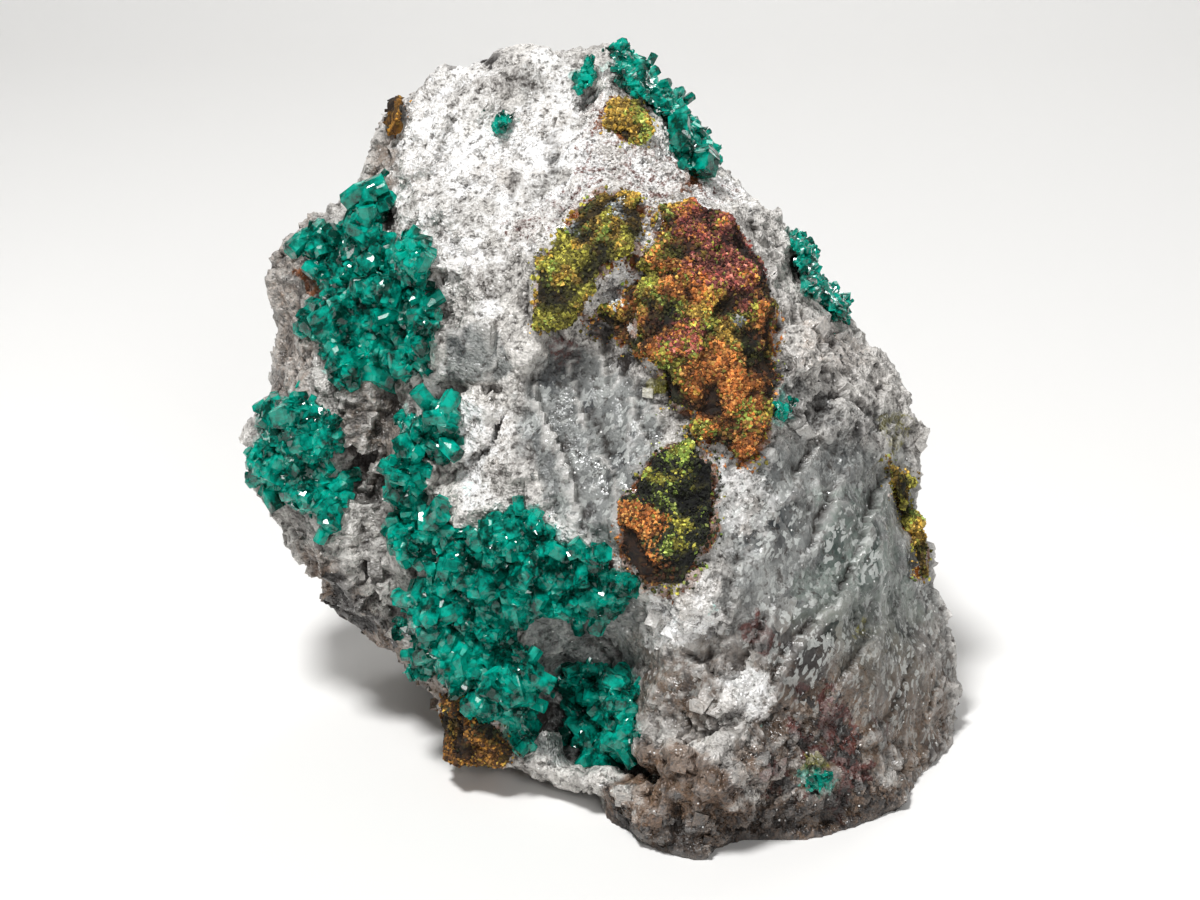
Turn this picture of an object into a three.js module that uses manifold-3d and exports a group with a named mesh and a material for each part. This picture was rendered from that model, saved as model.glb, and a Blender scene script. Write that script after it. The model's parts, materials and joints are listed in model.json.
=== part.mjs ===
// Dioptase specimen: emerald-green crystals and earthy iron crusts on a broken block of calcite.
// Millimetres, +Z up. The block rests on a flat broken face at z = 0. The origin is on that face,
// in the middle of the specimen's length and depth.
//
// Places on the front are given the way an eye sees them: "right" and "up" are read across the
// line of sight, and "out" is how far the place stands towards the eye. seen() turns such a
// reading into a point of the block's own space.
import * as THREE from 'three';
import { ConvexGeometry } from 'three/addons/geometries/ConvexGeometry.js';
import { ImprovedNoise } from 'three/addons/math/ImprovedNoise.js';
import { mergeVertices } from 'three/addons/utils/BufferGeometryUtils.js';
import Module from 'manifold-3d';

const wasm = await Module();
wasm.setup();

// The eye
const EYE_DISTANCE = 240;
const EYE_ELEVATION = THREE.MathUtils.degToRad(20);
const MIDDLE = new THREE.Vector3(0, 0, 26.8);
const ACROSS = new THREE.Vector3(1, 0, 0);
const RISE = new THREE.Vector3(0, Math.sin(EYE_ELEVATION), Math.cos(EYE_ELEVATION));
const TOWARDS = new THREE.Vector3(0, -Math.cos(EYE_ELEVATION), Math.sin(EYE_ELEVATION));

// How finely the block's skin is divided
const TOP_ROW = 39.6;
const BOTTOM_ROW = -43;
const ROW_STEP = 2.75;
const FRONT_SPLITS = 2;
const BACK_COLUMNS = 18;
const LUMP = 4.2;
const LUMP_HEIGHT = 0.7;

// Broken faces: every part of the skin belongs to the nearest of these random cells, which tilts
// it and sets it in or out a little.
const CELL_COUNT = 260;
const CELL_FIELD = new THREE.Vector3(80, 76, 80);
const CELL_TILT = 0.42;
const CELL_STEP = 1.1;
const CELL_SEED = 5;
const RIM_LIFT = 0.2;

// Fits
const GAP = 0.35;
const CRUST_THICKNESS = 0.8;
const DRUSE_THICKNESS = 0.9;
const RAGGED_EDGE = 1.2;
const SHORT_SIDE = 3.2;
const WELD = 1e-4;

// Dioptase's own form: a short six-sided prism under three sloping rhomb faces.
const RHOMB_SLOPE = 1.23;
const ROOT_DEPTH = 1.5;

// How far crystals lean from the surface's own direction, and how many radii they stand out
const LARGE_UNREST = 0.9;
const SMALL_UNREST = 1.3;
const SMALL_STAND = [0.9, 1.5];

// Calcite breaks into rhombs whose faces lean this far from square.
const RHOMB_LEAN = 0.27;

// Left and right outline of the bare block, [up, right], from the top down
const LEFT_EDGE = [
  [39.6, -11], [38, -15.6], [36, -17.2], [34.5, -20.5], [30.5, -23], [26.7, -23.5], [25.4, -24.6],
  [24.2, -27.4], [22, -28.7], [20.5, -31], [18.5, -32.7], [15.2, -33], [12, -31.9],
  [8, -32.7], [5, -33.4], [1.5, -35], [-1, -34.6], [-4, -34.4], [-5.5, -32.8], [-10, -30.2],
  [-12.5, -27.8], [-15.5, -27.2], [-18, -23.2], [-19.5, -20.2], [-22, -18.5], [-24.5, -15.4],
  [-28, -15], [-30.4, -14.4], [-31.6, -6], [-34.4, -0.2], [-37.2, 0.2], [-38.8, 3.6], [-39.6, 6.4],
  [-43, 7],
];
const RIGHT_EDGE = [
  [39.6, 1.5], [36.6, 4.6], [35, 7], [31.2, 9.6], [28, 11], [26.5, 14.2], [25, 15], [22.5, 18.6],
  [20, 20.4], [15.3, 24], [12.8, 24.7], [9, 28.2], [3.7, 31], [0, 32.6], [-1.3, 31.4], [-5, 31],
  [-9.5, 33.4], [-15, 34.5], [-21, 36], [-30, 36], [-34.5, 34.8], [-43, 34],
];

// Relief of the front. Each row: up, out at the left edge, ten stations [right, out], out at the
// right edge. The stations keep their meaning from row to row: the left column, the recess behind
// it, the foot and the top of the cliff, four stations over the main face, and the right flank.
const RELIEF = [
  { up: 39.6, left: -1, right: -1, stations: [
    [-10.5, 1], [-9.5, 2], [-8.5, 3.5], [-7, 4.5], [-5.5, 4.5],
    [-4, 4.5], [-2.5, 5], [-1, 6], [0.3, 5], [1, 3]] },
  { up: 35, left: -2, right: -2, stations: [
    [-18.5, 2], [-17, 3], [-15.5, 5], [-12, 7], [-9, 7],
    [-5, 6], [-1.5, 5.5], [1, 8], [3.5, 7], [5.5, 3.5]] },
  { up: 28, left: -3, right: -1, stations: [
    [-21.5, 2], [-20, 4], [-15.5, 9], [-12, 9.5], [-8, 9],
    [-4.5, 8], [-0.5, 13], [3, 14], [7, 12], [9.8, 6]] },
  { up: 22, left: -2, right: -2, stations: [
    [-25, 4], [-20.5, 6.5], [-17, 12], [-13, 12.5], [-7.5, 12],
    [-5.5, 16], [0, 17.5], [6, 18.5], [12, 16], [16.6, 8]] },
  { up: 15, left: -3, right: -3, stations: [
    [-28.5, 3.5], [-18.5, 9], [-16.8, 13], [-13, 13.5], [-9, 14.5],
    [-5.5, 18], [1, 19.5], [8, 20.5], [15, 18], [20.5, 9]] },
  { up: 8, left: -3, right: -2, stations: [
    [-28.5, 4.5], [-20.5, 9], [-18.8, 13], [-14, 15.5], [-9, 17],
    [-4, 18.5], [3, 19.5], [9, 21], [16, 18.5], [23.5, 10]] },
  { up: 0, left: 0, right: 0, stations: [
    [-30, 6.5], [-21.5, 6], [-19, 14.5], [-14, 16.5], [-8, 19],
    [-3, 20.5], [3, 21.5], [9, 20.5], [17, 18], [26, 11]] },
  { up: -8, left: -2, right: -2, stations: [
    [-28, 6], [-21, 7.5], [-19, 14], [-14, 17], [-9, 19.5],
    [-3, 21.5], [4, 24.5], [10, 23], [17, 20], [26, 13.5]] },
  { up: -15, left: -3, right: 0, stations: [
    [-23.5, 3.5], [-20, 7], [-18, 15.5], [-13, 17.5], [-7, 18.5],
    [-1, 19], [4.5, 23], [9, 24.5], [18, 21], [28, 12.5]] },
  { up: -22, left: -1, right: 0, stations: [
    [-17.6, 4], [-17, 9], [-15.6, 15], [-12, 17], [-7.5, 16.5],
    [-5, 9.5], [1, 10.5], [6, 20], [16, 24], [27, 16]] },
  { up: -30, left: 5, right: 3, stations: [
    [-13.9, 8], [-13.5, 10.5], [-12.6, 12.5], [-10.5, 13.5], [-8, 13],
    [-6, 8.5], [0, 10], [5, 18.5], [16, 23], [27, 16]] },
  { up: -34.5, left: 14, right: 4, stations: [
    [0.2, 15], [0.5, 16], [1, 17], [1.8, 17.5], [3, 18.5],
    [5, 19.5], [8, 21], [12, 22], [20, 20], [30, 14.5]] },
  { up: -39, left: 17.5, right: 4, stations: [
    [4.6, 18.8], [5.4, 19.8], [6.4, 21], [7.6, 21.6], [9, 22],
    [10.5, 22], [13, 21], [17, 20], [22, 19.3], [30, 14.5]] },
  { up: -43, left: 16, right: 4, stations: [
    [6.6, 18], [7, 19.5], [7.5, 21], [8.2, 21.6], [9, 22],
    [10.5, 22], [13, 21], [17, 20], [22, 19.3], [30, 14.5]] },
];

// The back swells by this depth, [up, depth], and is then cut by flat broken faces, each
// out = level + across * right + rise * up.
const BACK_SWELL = [
  [39.6, 4], [35, 10], [28, 16], [22, 20], [15, 23], [8, 25], [0, 27], [-8, 28],
  [-15, 27], [-22, 26], [-31, 27], [-43, 27],
];
const BACK_FACES = [
  { level: -22.5, across: 0.06, rise: 0.12 },
  { level: -24, across: -0.18, rise: -0.32 },
  { level: -33, across: 0.8, rise: 0.05 },
  { level: -34.5, across: -0.78, rise: -0.15 },
  { level: -42, across: 0.12, rise: 0.95 },
];

// Rhombs of calcite whose corners stand out of the surface: place as seen, width, height, turn in
// degrees, and how far they stand out.
const CALCITE_BLOCKS = [
  { right: -13.6, up: 10.3, width: 6.6, height: 5.4, turn: 4, stand: 1.8 },
  { right: -17.0, up: -2.3, width: 2.4, height: 3.8, turn: -8, stand: 1.5 },
  { right: -13.2, up: 1.6, width: 4.4, height: 4.2, turn: 24, stand: 1.4 },
  { right: -23.6, up: -8.4, width: 6.2, height: 6.0, turn: 8, stand: 1.8 },
  { right: -22.8, up: -14.2, width: 4.2, height: 3.6, turn: 30, stand: 1.3 },
  { right: -17.2, up: 30.0, width: 4.6, height: 6.2, turn: 14, stand: 1.2 },
  { right: -14.6, up: 20.8, width: 5.4, height: 6.4, turn: -12, stand: 1.0 },
  { right: 19.8, up: 9.6, width: 5.0, height: 4.6, turn: 22, stand: 1.2 },
  { right: 24.0, up: 2.4, width: 5.4, height: 4.2, turn: -20, stand: 1.0 },
  { right: 14.5, up: -30.6, width: 7.0, height: 5.0, turn: 12, stand: 1.0 },
];
const BLOCK_TIP = 0.3;

// The dioptase groups: the outline that the crystals fill, [right, up], how far apart they sit,
// their radius from smallest to largest, and the large ones by hand [right, up, radius, stand].
const DIOPTASE_GROUPS = [
  {
    name: 'dioptase_upper_left', seed: 11, spacing: 5, radii: [1.7, 2.5], farOut: 0,
    outline: [
      [-28, 23], [-24, 22], [-23.7, 26], [-22.8, 26.8], [-21.7, 24.8], [-21.6, 20.7],
      [-21.8, 16.8], [-20, 16], [-19.6, 20.5], [-18.8, 21.5], [-17.5, 18.7], [-16.9, 12.2],
      [-18, 7.8], [-20, 7.4], [-24.5, 8], [-26.4, 6.1], [-27.6, 9.6], [-28.5, 13],
      [-27.2, 17], [-29.6, 19.7],
    ],
    large: [
      [-22.7, 24.4, 1.5, 3], [-27.4, 20.6, 2.4, 3], [-23.8, 17.6, 2.6, 3.2],
      [-25.2, 12.6, 2.5, 2.8], [-20.6, 12.4, 2.6, 3], [-24.6, 8.6, 2.2, 2.4],
      [-18.8, 17.6, 2, 2.4], [-19.6, 9.4, 1.9, 2.2],
    ],
  },
  {
    name: 'dioptase_far_left', seed: 23, spacing: 4.2, radii: [1.5, 2.1], farOut: 0,
    outline: [
      [-33.2, 3.8], [-30.8, 5.8], [-28.6, 5.2], [-26, 3], [-26.4, 0.6], [-27.5, -2],
      [-26, -2.2], [-25.7, -4.8], [-27.5, -8], [-28.5, -6.5], [-31.2, -5.4], [-33.6, -4],
      [-34.2, 0],
    ],
    large: [
      [-33.1, -1.4, 3.2, 2.8], [-30.6, 3.4, 2.1, 2.4], [-29.4, -4.2, 2.3, 2.4],
      [-27.2, -4.6, 1.6, 2],
    ],
  },
  {
    name: 'dioptase_centre', seed: 37, spacing: 5.8, radii: [1.8, 2.6], farOut: 7,
    outline: [
      [-19.5, 4], [-16, 4.2], [-15, 1.5], [-16, 0], [-18.2, -1], [-18.3, -6], [-15.7, -7.5],
      [-11, -8.5], [-10.7, -6.7], [-7.2, -5.8], [-4, -9], [-1, -10.2], [2.5, -13], [3, -14.3],
      [1.5, -15.5], [-2.5, -17], [-6.5, -16.3], [-7.5, -19.5], [-6, -22], [-6.6, -29.5],
      [-8.6, -29.4], [-9.6, -26.8], [-12, -26], [-12.6, -23.8], [-15, -23.4], [-16, -21],
      [-18.4, -19.5], [-18.9, -15], [-16.8, -13.4], [-18.6, -10.8], [-20.3, -10],
      [-20.5, -4], [-20.2, 0],
    ],
    large: [
      [-17.6, 2.2, 2, 2.2], [-19.2, -3.2, 1.7, 2.2], [-19, -8.4, 2.1, 2.6],
      [-9.8, -9.6, 2.4, 2.8], [-13.6, -11.6, 2.7, 3], [-6.4, -11.4, 2.6, 3],
      [-1.6, -13.4, 2.5, 2.6], [-16.4, -16.8, 2.6, 2.8], [-11.6, -17.2, 2.8, 3.2],
      [-13.4, -21.4, 2.2, 2.4], [-9, -23, 2.3, 2.6], [1, -13.8, 1.7, 1.8],
    ],
  },
  {
    name: 'dioptase_pocket', seed: 41, spacing: 3.8, radii: [1.5, 2.1],
    outline: [
      [-4.2, -22.3], [-3, -21.7], [0.5, -21.9], [2.8, -22.3], [3.4, -25.5], [3.6, -28.4],
      [2.4, -30.2], [-0.5, -31], [-2.2, -29.4], [-3.8, -26],
    ],
    large: [
      [-2.2, -24, 1.9, 2.4], [1.2, -25.2, 2.4, 3], [0.2, -28.6, 2.2, 2.6],
    ],
  },
  {
    name: 'dioptase_top_ridge', seed: 54, spacing: 3.4, radii: [1.2, 1.6], farOut: -4,
    outline: [
      [1, 39.4], [2.2, 40], [5.2, 36.8], [7.7, 35], [10.4, 31], [11.6, 29.4], [10.4, 27.6],
      [9, 28.2], [7.6, 30.4], [7.9, 33], [5.4, 34.6], [3.4, 36.2],
    ],
    large: [
      [9.4, 29.6, 2.3, 2.2], [10.6, 28.8, 1.5, 2.6], [8.6, 32, 1.6, 1.6],
    ],
  },
  {
    name: 'dioptase_right_edge', seed: 62, spacing: 3, radii: [1, 1.4],
    outline: [
      [19, 21.9], [20.8, 20.2], [21.6, 18], [24.4, 14.6], [24.8, 13], [24, 12.6],
      [22.6, 15.2], [20.6, 15.8], [20.2, 18.6],
    ],
    large: [
      [23.4, 14.2, 1.3, 1.3], [20.4, 19.6, 1.2, 1.2],
    ],
  },
  {
    name: 'dioptase_cap', seed: 67, spacing: 1.5, radii: [0.5, 0.8],
    outline: [[-10.8, 33.4], [-9.4, 34.2], [-8.4, 33], [-9.4, 31.8], [-10.6, 32]],
    large: [],
  },
  {
    name: 'dioptase_top_small', seed: 71, spacing: 1.8, radii: [0.6, 0.9],
    outline: [[-2.6, 37.6], [-0.6, 38.9], [0.2, 37.6], [-1.6, 35.8], [-2.6, 36.2]],
    large: [[-1.9, 37, 1, 1]],
  },
  {
    name: 'dioptase_notch', seed: 73, spacing: 2, radii: [0.7, 1],
    outline: [[17.4, 4.8], [18.6, 5.5], [19.4, 4.4], [18.8, 3.1], [17.6, 3.2]],
    large: [[18.4, 4.3, 1.1, 1.1]],
  },
  {
    name: 'dioptase_lower_left', seed: 79, spacing: 2, radii: [0.6, 0.9],
    outline: [[-21.1, -17.2], [-19.8, -17], [-19.5, -18.2], [-20.6, -18.8]],
    large: [[-20.3, -17.8, 0.9, 1]],
  },
  {
    name: 'dioptase_lower_right', seed: 83, spacing: 2, radii: [0.7, 1],
    outline: [[20.6, -32.4], [22.2, -32], [23, -33.2], [22.2, -34.2], [20.8, -33.8]],
    large: [[21.8, -33.1, 1.3, 1.2]],
  },
];

// The earthy crusts, each by its outline [right, up] and its colour
const CRUSTS = [
  {
    name: 'iron_crust_centre', colour: 0x8a5420,
    outline: [
      [5.4, 24.6], [10, 24], [14, 22.5], [16.5, 17.5], [17.8, 14], [17.8, 8], [17.2, 5.5],
      [16.2, 2], [15.3, -1], [12, 0], [9.2, 0.8], [10, 4], [6.8, 4.5], [6.5, 8.5], [3.8, 10],
      [0.2, 11.5], [-0.9, 12.6], [2.5, 14], [4.7, 17], [3.4, 19], [6.9, 21.2],
    ],
  },
  {
    name: 'olive_crust_upper', colour: 0x66652a,
    outline: [
      [-6.5, 13], [-6.3, 19], [-4, 21.2], [0, 25.5], [3.9, 25], [3.9, 22], [1, 19.3],
      [-1.2, 17], [-3, 13.5], [-5.3, 12.2],
    ],
  },
  {
    name: 'olive_crust_apex', colour: 0x74733a,
    outline: [[0.5, 33], [2, 35.3], [4, 35], [5, 32.5], [3, 31]],
  },
  {
    name: 'dark_crust_lower', colour: 0x3f4426,
    outline: [
      [5.6, -0.6], [8.4, 0], [11, -1.7], [11.3, -6], [9.8, -10.5], [8.5, -13], [4.6, -13.3],
      [1.7, -10.5], [2, -8.8], [3.8, -4.4],
    ],
  },
  {
    name: 'iron_crust_lower_left', colour: 0x6e4424, farOut: 8,
    outline: [
      [-14.9, -24.4], [-13, -24.8], [-12.7, -26.7], [-10.4, -27.4], [-9.4, -30.1],
      [-10, -31], [-14.6, -31.2], [-15.6, -28],
    ],
  },
  {
    name: 'iron_crust_right', colour: 0x6b5c2c, farOut: 1,
    outline: [[29.2, -1.4], [31, -3], [33.2, -9.6], [32.4, -12.4], [30.3, -5]],
  },
  {
    name: 'golden_chip', colour: 0x9a6a24, farOut: -3,
    outline: [[-21.6, 32.6], [-20.8, 35.4], [-19.4, 35.4], [-19.7, 33], [-20.9, 32]],
  },
];

// Materials
function calciteMaterial() {
  return new THREE.MeshStandardMaterial({ color: 0xb9b5b0, roughness: 0.55, metalness: 0 });
}

function dioptaseMaterial() {
  return new THREE.MeshStandardMaterial({ color: 0x007d69, roughness: 0.15, metalness: 0 });
}

function crustMaterial(colour) {
  return new THREE.MeshStandardMaterial({ color: colour, roughness: 0.95, metalness: 0 });
}

// A place as the eye sees it, turned into a point of the block's own space
function seen(right, up, out) {
  const scale = (EYE_DISTANCE - out) / EYE_DISTANCE;
  return MIDDLE.clone()
    .addScaledVector(ACROSS, right * scale)
    .addScaledVector(RISE, up * scale)
    .addScaledVector(TOWARDS, out);
}

// Random numbers that come out the same each time
function seededRandom(seed) {
  let state = seed;
  return () => {
    state = (state + 0x6d2b79f5) | 0;
    let mixed = Math.imul(state ^ (state >>> 15), 1 | state);
    mixed = (mixed + Math.imul(mixed ^ (mixed >>> 7), 61 | mixed)) ^ mixed;
    return ((mixed ^ (mixed >>> 14)) >>> 0) / 4294967296;
  };
}

// Value at a height of a list [height, value] that runs from the top down
function valueAt(list, height) {
  const below = list.findIndex(([level]) => level <= height);
  if (below <= 0) {
    return list[below === 0 ? 0 : list.length - 1][1];
  }
  const [upperLevel, upperValue] = list[below - 1];
  const [lowerLevel, lowerValue] = list[below];
  const share = (upperLevel - height) / (upperLevel - lowerLevel);
  return THREE.MathUtils.lerp(upperValue, lowerValue, share);
}

// Front of one row, left edge to right edge, as [right, out]
function frontAt(up) {
  const inner = RELIEF[0].stations.map((_, index) => [
    valueAt(RELIEF.map((row) => [row.up, row.stations[index][0]]), up),
    valueAt(RELIEF.map((row) => [row.up, row.stations[index][1]]), up),
  ]);
  const left = [valueAt(LEFT_EDGE, up), valueAt(RELIEF.map((row) => [row.up, row.left]), up)];
  const right = [valueAt(RIGHT_EDGE, up), valueAt(RELIEF.map((row) => [row.up, row.right]), up)];
  const stations = [left, ...inner, right];
  const points = [];
  for (let span = 0; span + 1 < stations.length; span += 1) {
    for (let split = 0; split < FRONT_SPLITS; split += 1) {
      const share = split / FRONT_SPLITS;
      points.push([0, 1].map((axis) =>
        THREE.MathUtils.lerp(stations[span][axis], stations[span + 1][axis], share)));
    }
  }
  points.push(right);
  return points;
}

// Back of one row, right edge to left edge: half an ellipse cut by the broken faces
function backAt(up, leftEnd, rightEnd) {
  const points = [];
  const depth = valueAt(BACK_SWELL, up);
  for (let column = 1; column < BACK_COLUMNS; column += 1) {
    const angle = (Math.PI * column) / BACK_COLUMNS;
    const share = (1 - Math.cos(angle)) / 2;
    const right = THREE.MathUtils.lerp(rightEnd[0], leftEnd[0], share);
    const swollen = THREE.MathUtils.lerp(rightEnd[1], leftEnd[1], share) - depth * Math.sin(angle);
    const cuts = BACK_FACES.map((face) => face.level + face.across * right + face.rise * up);
    points.push([right, Math.max(swollen, ...cuts)]);
  }
  return points;
}

// The block's skin as one closed mesh, grown outwards by a given amount
function skinGeometry(grow) {
  const rows = [];
  const rowCount = Math.round((TOP_ROW - BOTTOM_ROW) / ROW_STEP);
  for (let row = 0; row <= rowCount; row += 1) {
    const up = THREE.MathUtils.lerp(TOP_ROW, BOTTOM_ROW, row / rowCount);
    const front = frontAt(up);
    const back = backAt(up, front[0], front[front.length - 1]);
    rows.push([...front, ...back].map(([right, out]) => seen(right, up, out)));
  }
  const loop = rows[0].length;
  const points = rows.flat();
  const triangles = [];
  for (let row = 0; row < rowCount; row += 1) {
    for (let column = 0; column < loop; column += 1) {
      const upper = row * loop + column;
      const upperNext = row * loop + ((column + 1) % loop);
      const lower = upper + loop;
      const lowerNext = upperNext + loop;
      if (points[upper].distanceTo(points[lowerNext]) < points[lower].distanceTo(points[upperNext])) {
        triangles.push(upper, lower, lowerNext, upper, lowerNext, upperNext);
      } else {
        triangles.push(upper, lower, upperNext, upperNext, lower, lowerNext);
      }
    }
  }
  closeEnd(points, triangles, 0, loop, false);
  closeEnd(points, triangles, rowCount * loop, loop, true);
  const geometry = new THREE.BufferGeometry().setFromPoints(points);
  geometry.setIndex(triangles);
  roughen(geometry, grow);
  return geometry;
}

// A fan over the first or the last row of the skin
function closeEnd(points, triangles, start, loop, isBottom) {
  const centre = new THREE.Vector3();
  for (let column = 0; column < loop; column += 1) {
    centre.addScaledVector(points[start + column], 1 / loop);
  }
  const centreIndex = points.push(centre) - 1;
  for (let column = 0; column < loop; column += 1) {
    const here = start + column;
    const next = start + ((column + 1) % loop);
    triangles.push(...(isBottom ? [here, centreIndex, next] : [here, next, centreIndex]));
  }
}

// The cells of the broken faces
function brokenCells() {
  const random = seededRandom(CELL_SEED);
  const around = () => new THREE.Vector3(random() - 0.5, random() - 0.5, random() - 0.5);
  return Array.from({ length: CELL_COUNT }, () => ({
    centre: around().multiply(CELL_FIELD).add(MIDDLE),
    tilt: around().multiplyScalar(CELL_TILT),
    step: CELL_STEP * (random() - 0.5),
  }));
}

// How far the broken faces and the lumps lift the skin at a place
function liftAt(place, cells, noise) {
  let nearest = cells[0];
  for (const cell of cells) {
    if (cell.centre.distanceToSquared(place) < nearest.centre.distanceToSquared(place)) {
      nearest = cell;
    }
  }
  const across = place.clone().sub(nearest.centre);
  const grain = place.clone().divideScalar(LUMP);
  return nearest.tilt.dot(across) + nearest.step
    + LUMP_HEIGHT * noise.noise(grain.x, grain.y, grain.z);
}

// Lifts every vertex along its normal by its broken face, its lumps and the growth. The rim seen
// edge-on is lifted least, so that the outline stays as measured.
function roughen(geometry, grow) {
  const noise = new ImprovedNoise();
  const cells = brokenCells();
  geometry.computeVertexNormals();
  const places = geometry.attributes.position;
  const normals = geometry.attributes.normal;
  for (let index = 0; index < places.count; index += 1) {
    const place = new THREE.Vector3().fromBufferAttribute(places, index);
    const normal = new THREE.Vector3().fromBufferAttribute(normals, index);
    const share = THREE.MathUtils.lerp(RIM_LIFT, 1, Math.abs(normal.dot(TOWARDS)));
    place.addScaledVector(normal, share * liftAt(place, cells, noise) + grow);
    places.setXYZ(index, place.x, place.y, place.z);
  }
}

// Solids and meshes
function solidOf(geometry) {
  const bare = geometry.clone();
  bare.deleteAttribute('normal');
  bare.deleteAttribute('uv');
  const merged = mergeVertices(bare, WELD);
  return new wasm.Manifold(new wasm.Mesh({
    numProp: 3,
    vertProperties: new Float32Array(merged.attributes.position.array),
    triVerts: new Uint32Array(merged.index.array),
  }));
}

function largestPiece(solid) {
  return solid.decompose().reduce((best, piece) => (piece.volume() > best.volume() ? piece : best));
}

function geometryOf(solid) {
  const mesh = solid.getMesh();
  const geometry = new THREE.BufferGeometry();
  geometry.setAttribute('position', new THREE.BufferAttribute(mesh.vertProperties, 3));
  geometry.setIndex(new THREE.BufferAttribute(mesh.triVerts, 1));
  geometry.computeVertexNormals();
  return geometry;
}

function meshOf(name, solid, material) {
  const mesh = new THREE.Mesh(geometryOf(solid), material);
  mesh.name = name;
  return mesh;
}

// Where the line of sight through a place first meets the skin, and the way the skin faces there
const bareSkin = new THREE.Mesh(skinGeometry(0), new THREE.MeshBasicMaterial());
bareSkin.updateMatrixWorld();
const EYE = seen(0, 0, EYE_DISTANCE);
const CORE = seen(1, 2, -2);
const RIM_OUT = -4;

function landing(right, up) {
  const caster = new THREE.Raycaster();
  const aim = seen(right, up, 0);
  caster.set(EYE, aim.sub(EYE).normalize());
  let hit = caster.intersectObject(bareSkin)[0];
  if (!hit) {
    const rim = seen(right, up, RIM_OUT);
    const inwards = CORE.clone().sub(rim).normalize();
    caster.set(rim.clone().addScaledVector(inwards, -EYE_DISTANCE / 2), inwards);
    hit = caster.intersectObject(bareSkin)[0];
  }
  return { point: hit.point, normal: hit.face.normal.clone() };
}

// A rhomb of calcite: a leaning box, from its root in the surface to its face
function calciteBlock({ right, up, width, height, turn, stand }, grow) {
  const { point, normal } = landing(right, up);
  const tip = new THREE.Vector3(Math.sin(turn * up), Math.cos(turn + right), Math.sin(right));
  const outward = normal.addScaledVector(tip, BLOCK_TIP).normalize();
  const side = new THREE.Vector3().crossVectors(RISE, outward).normalize();
  side.applyAxisAngle(outward, THREE.MathUtils.degToRad(turn));
  const rise = new THREE.Vector3().crossVectors(outward, side);
  const rootDepth = Math.min(width, height);
  const corners = [];
  for (const across of [-0.5, 0.5]) {
    for (const upwards of [-0.5, 0.5]) {
      for (const level of [-rootDepth, stand + grow]) {
        const lean = RHOMB_LEAN * (upwards * height + level);
        corners.push(point.clone()
          .addScaledVector(side, across * (width + 2 * grow) + lean)
          .addScaledVector(rise, upwards * (height + 2 * grow))
          .addScaledVector(outward, level));
      }
    }
  }
  return solidOf(new ConvexGeometry(corners));
}

// The whole block of calcite, grown by a given amount
function calciteSolid(grow) {
  let solid = solidOf(skinGeometry(grow));
  for (const block of CALCITE_BLOCKS) {
    solid = solid.add(calciteBlock(block, grow));
  }
  return solid;
}

// Everything below a level, for cutting the flat resting face
function groundBelow(level) {
  const size = 4 * EYE_DISTANCE;
  const ground = new THREE.BoxGeometry(size, size, size);
  ground.translate(0, 0, level - size / 2);
  return solidOf(ground);
}

// The wedge of space seen through an outline, from a given level to well before the face
const NEAR_OUT = 45;

function seenThrough({ outline, farOut = -7 }) {
  const shape = new THREE.Shape(outline.map(([right, up]) => new THREE.Vector2(right, up)));
  const wedge = new THREE.ExtrudeGeometry(shape, { depth: NEAR_OUT - farOut, bevelEnabled: false });
  const places = wedge.attributes.position;
  for (let index = 0; index < places.count; index += 1) {
    const out = farOut + places.getZ(index);
    const place = seen(places.getX(index), places.getY(index), out);
    places.setXYZ(index, place.x, place.y, place.z);
  }
  return solidOf(wedge);
}

// One dioptase crystal, standing on the surface along the given axis
function crystalSolid({ point, normal }, radius, stand, tilt, spin) {
  const ring = (level, drops) => drops.map((drop, corner) => {
    const angle = (Math.PI / 3) * corner;
    return new THREE.Vector3(radius * Math.cos(angle), radius * Math.sin(angle), level - drop);
  });
  const slope = RHOMB_SLOPE * radius;
  const corners = [
    new THREE.Vector3(0, 0, stand),
    ...ring(stand, [slope, slope / 2, slope, slope / 2, slope, slope / 2]),
    ...ring(-ROOT_DEPTH - slope, [0, 0, 0, 0, 0, 0]),
  ];
  const axis = normal.clone().add(tilt).normalize();
  const stance = new THREE.Quaternion().setFromUnitVectors(new THREE.Vector3(0, 0, 1), axis);
  const turned = new THREE.Quaternion().setFromAxisAngle(new THREE.Vector3(0, 0, 1), spin);
  stance.multiply(turned);
  return solidOf(new ConvexGeometry(
    corners.map((corner) => corner.applyQuaternion(stance).add(point))));
}

function isInside(outline, right, up) {
  let inside = false;
  outline.forEach(([right2, up2], index) => {
    const [right1, up1] = outline[(index + outline.length - 1) % outline.length];
    const crosses = (up1 > up) !== (up2 > up);
    if (crosses && right < right1 + ((right2 - right1) * (up - up1)) / (up2 - up1)) {
      inside = !inside;
    }
  });
  return inside;
}

// Places that fill an outline: a grid with every place moved at random
function placesWithin(outline, spacing, random) {
  const places = [];
  const box = new THREE.Box2().setFromPoints(outline.map(([x, y]) => new THREE.Vector2(x, y)));
  for (let right = box.min.x; right <= box.max.x; right += spacing) {
    for (let up = box.min.y; up <= box.max.y; up += spacing) {
      const moved = [right + spacing * (random() - 0.5), up + spacing * (random() - 0.5)];
      if (isInside(outline, ...moved)) {
        places.push(moved);
      }
    }
  }
  return places;
}

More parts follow.
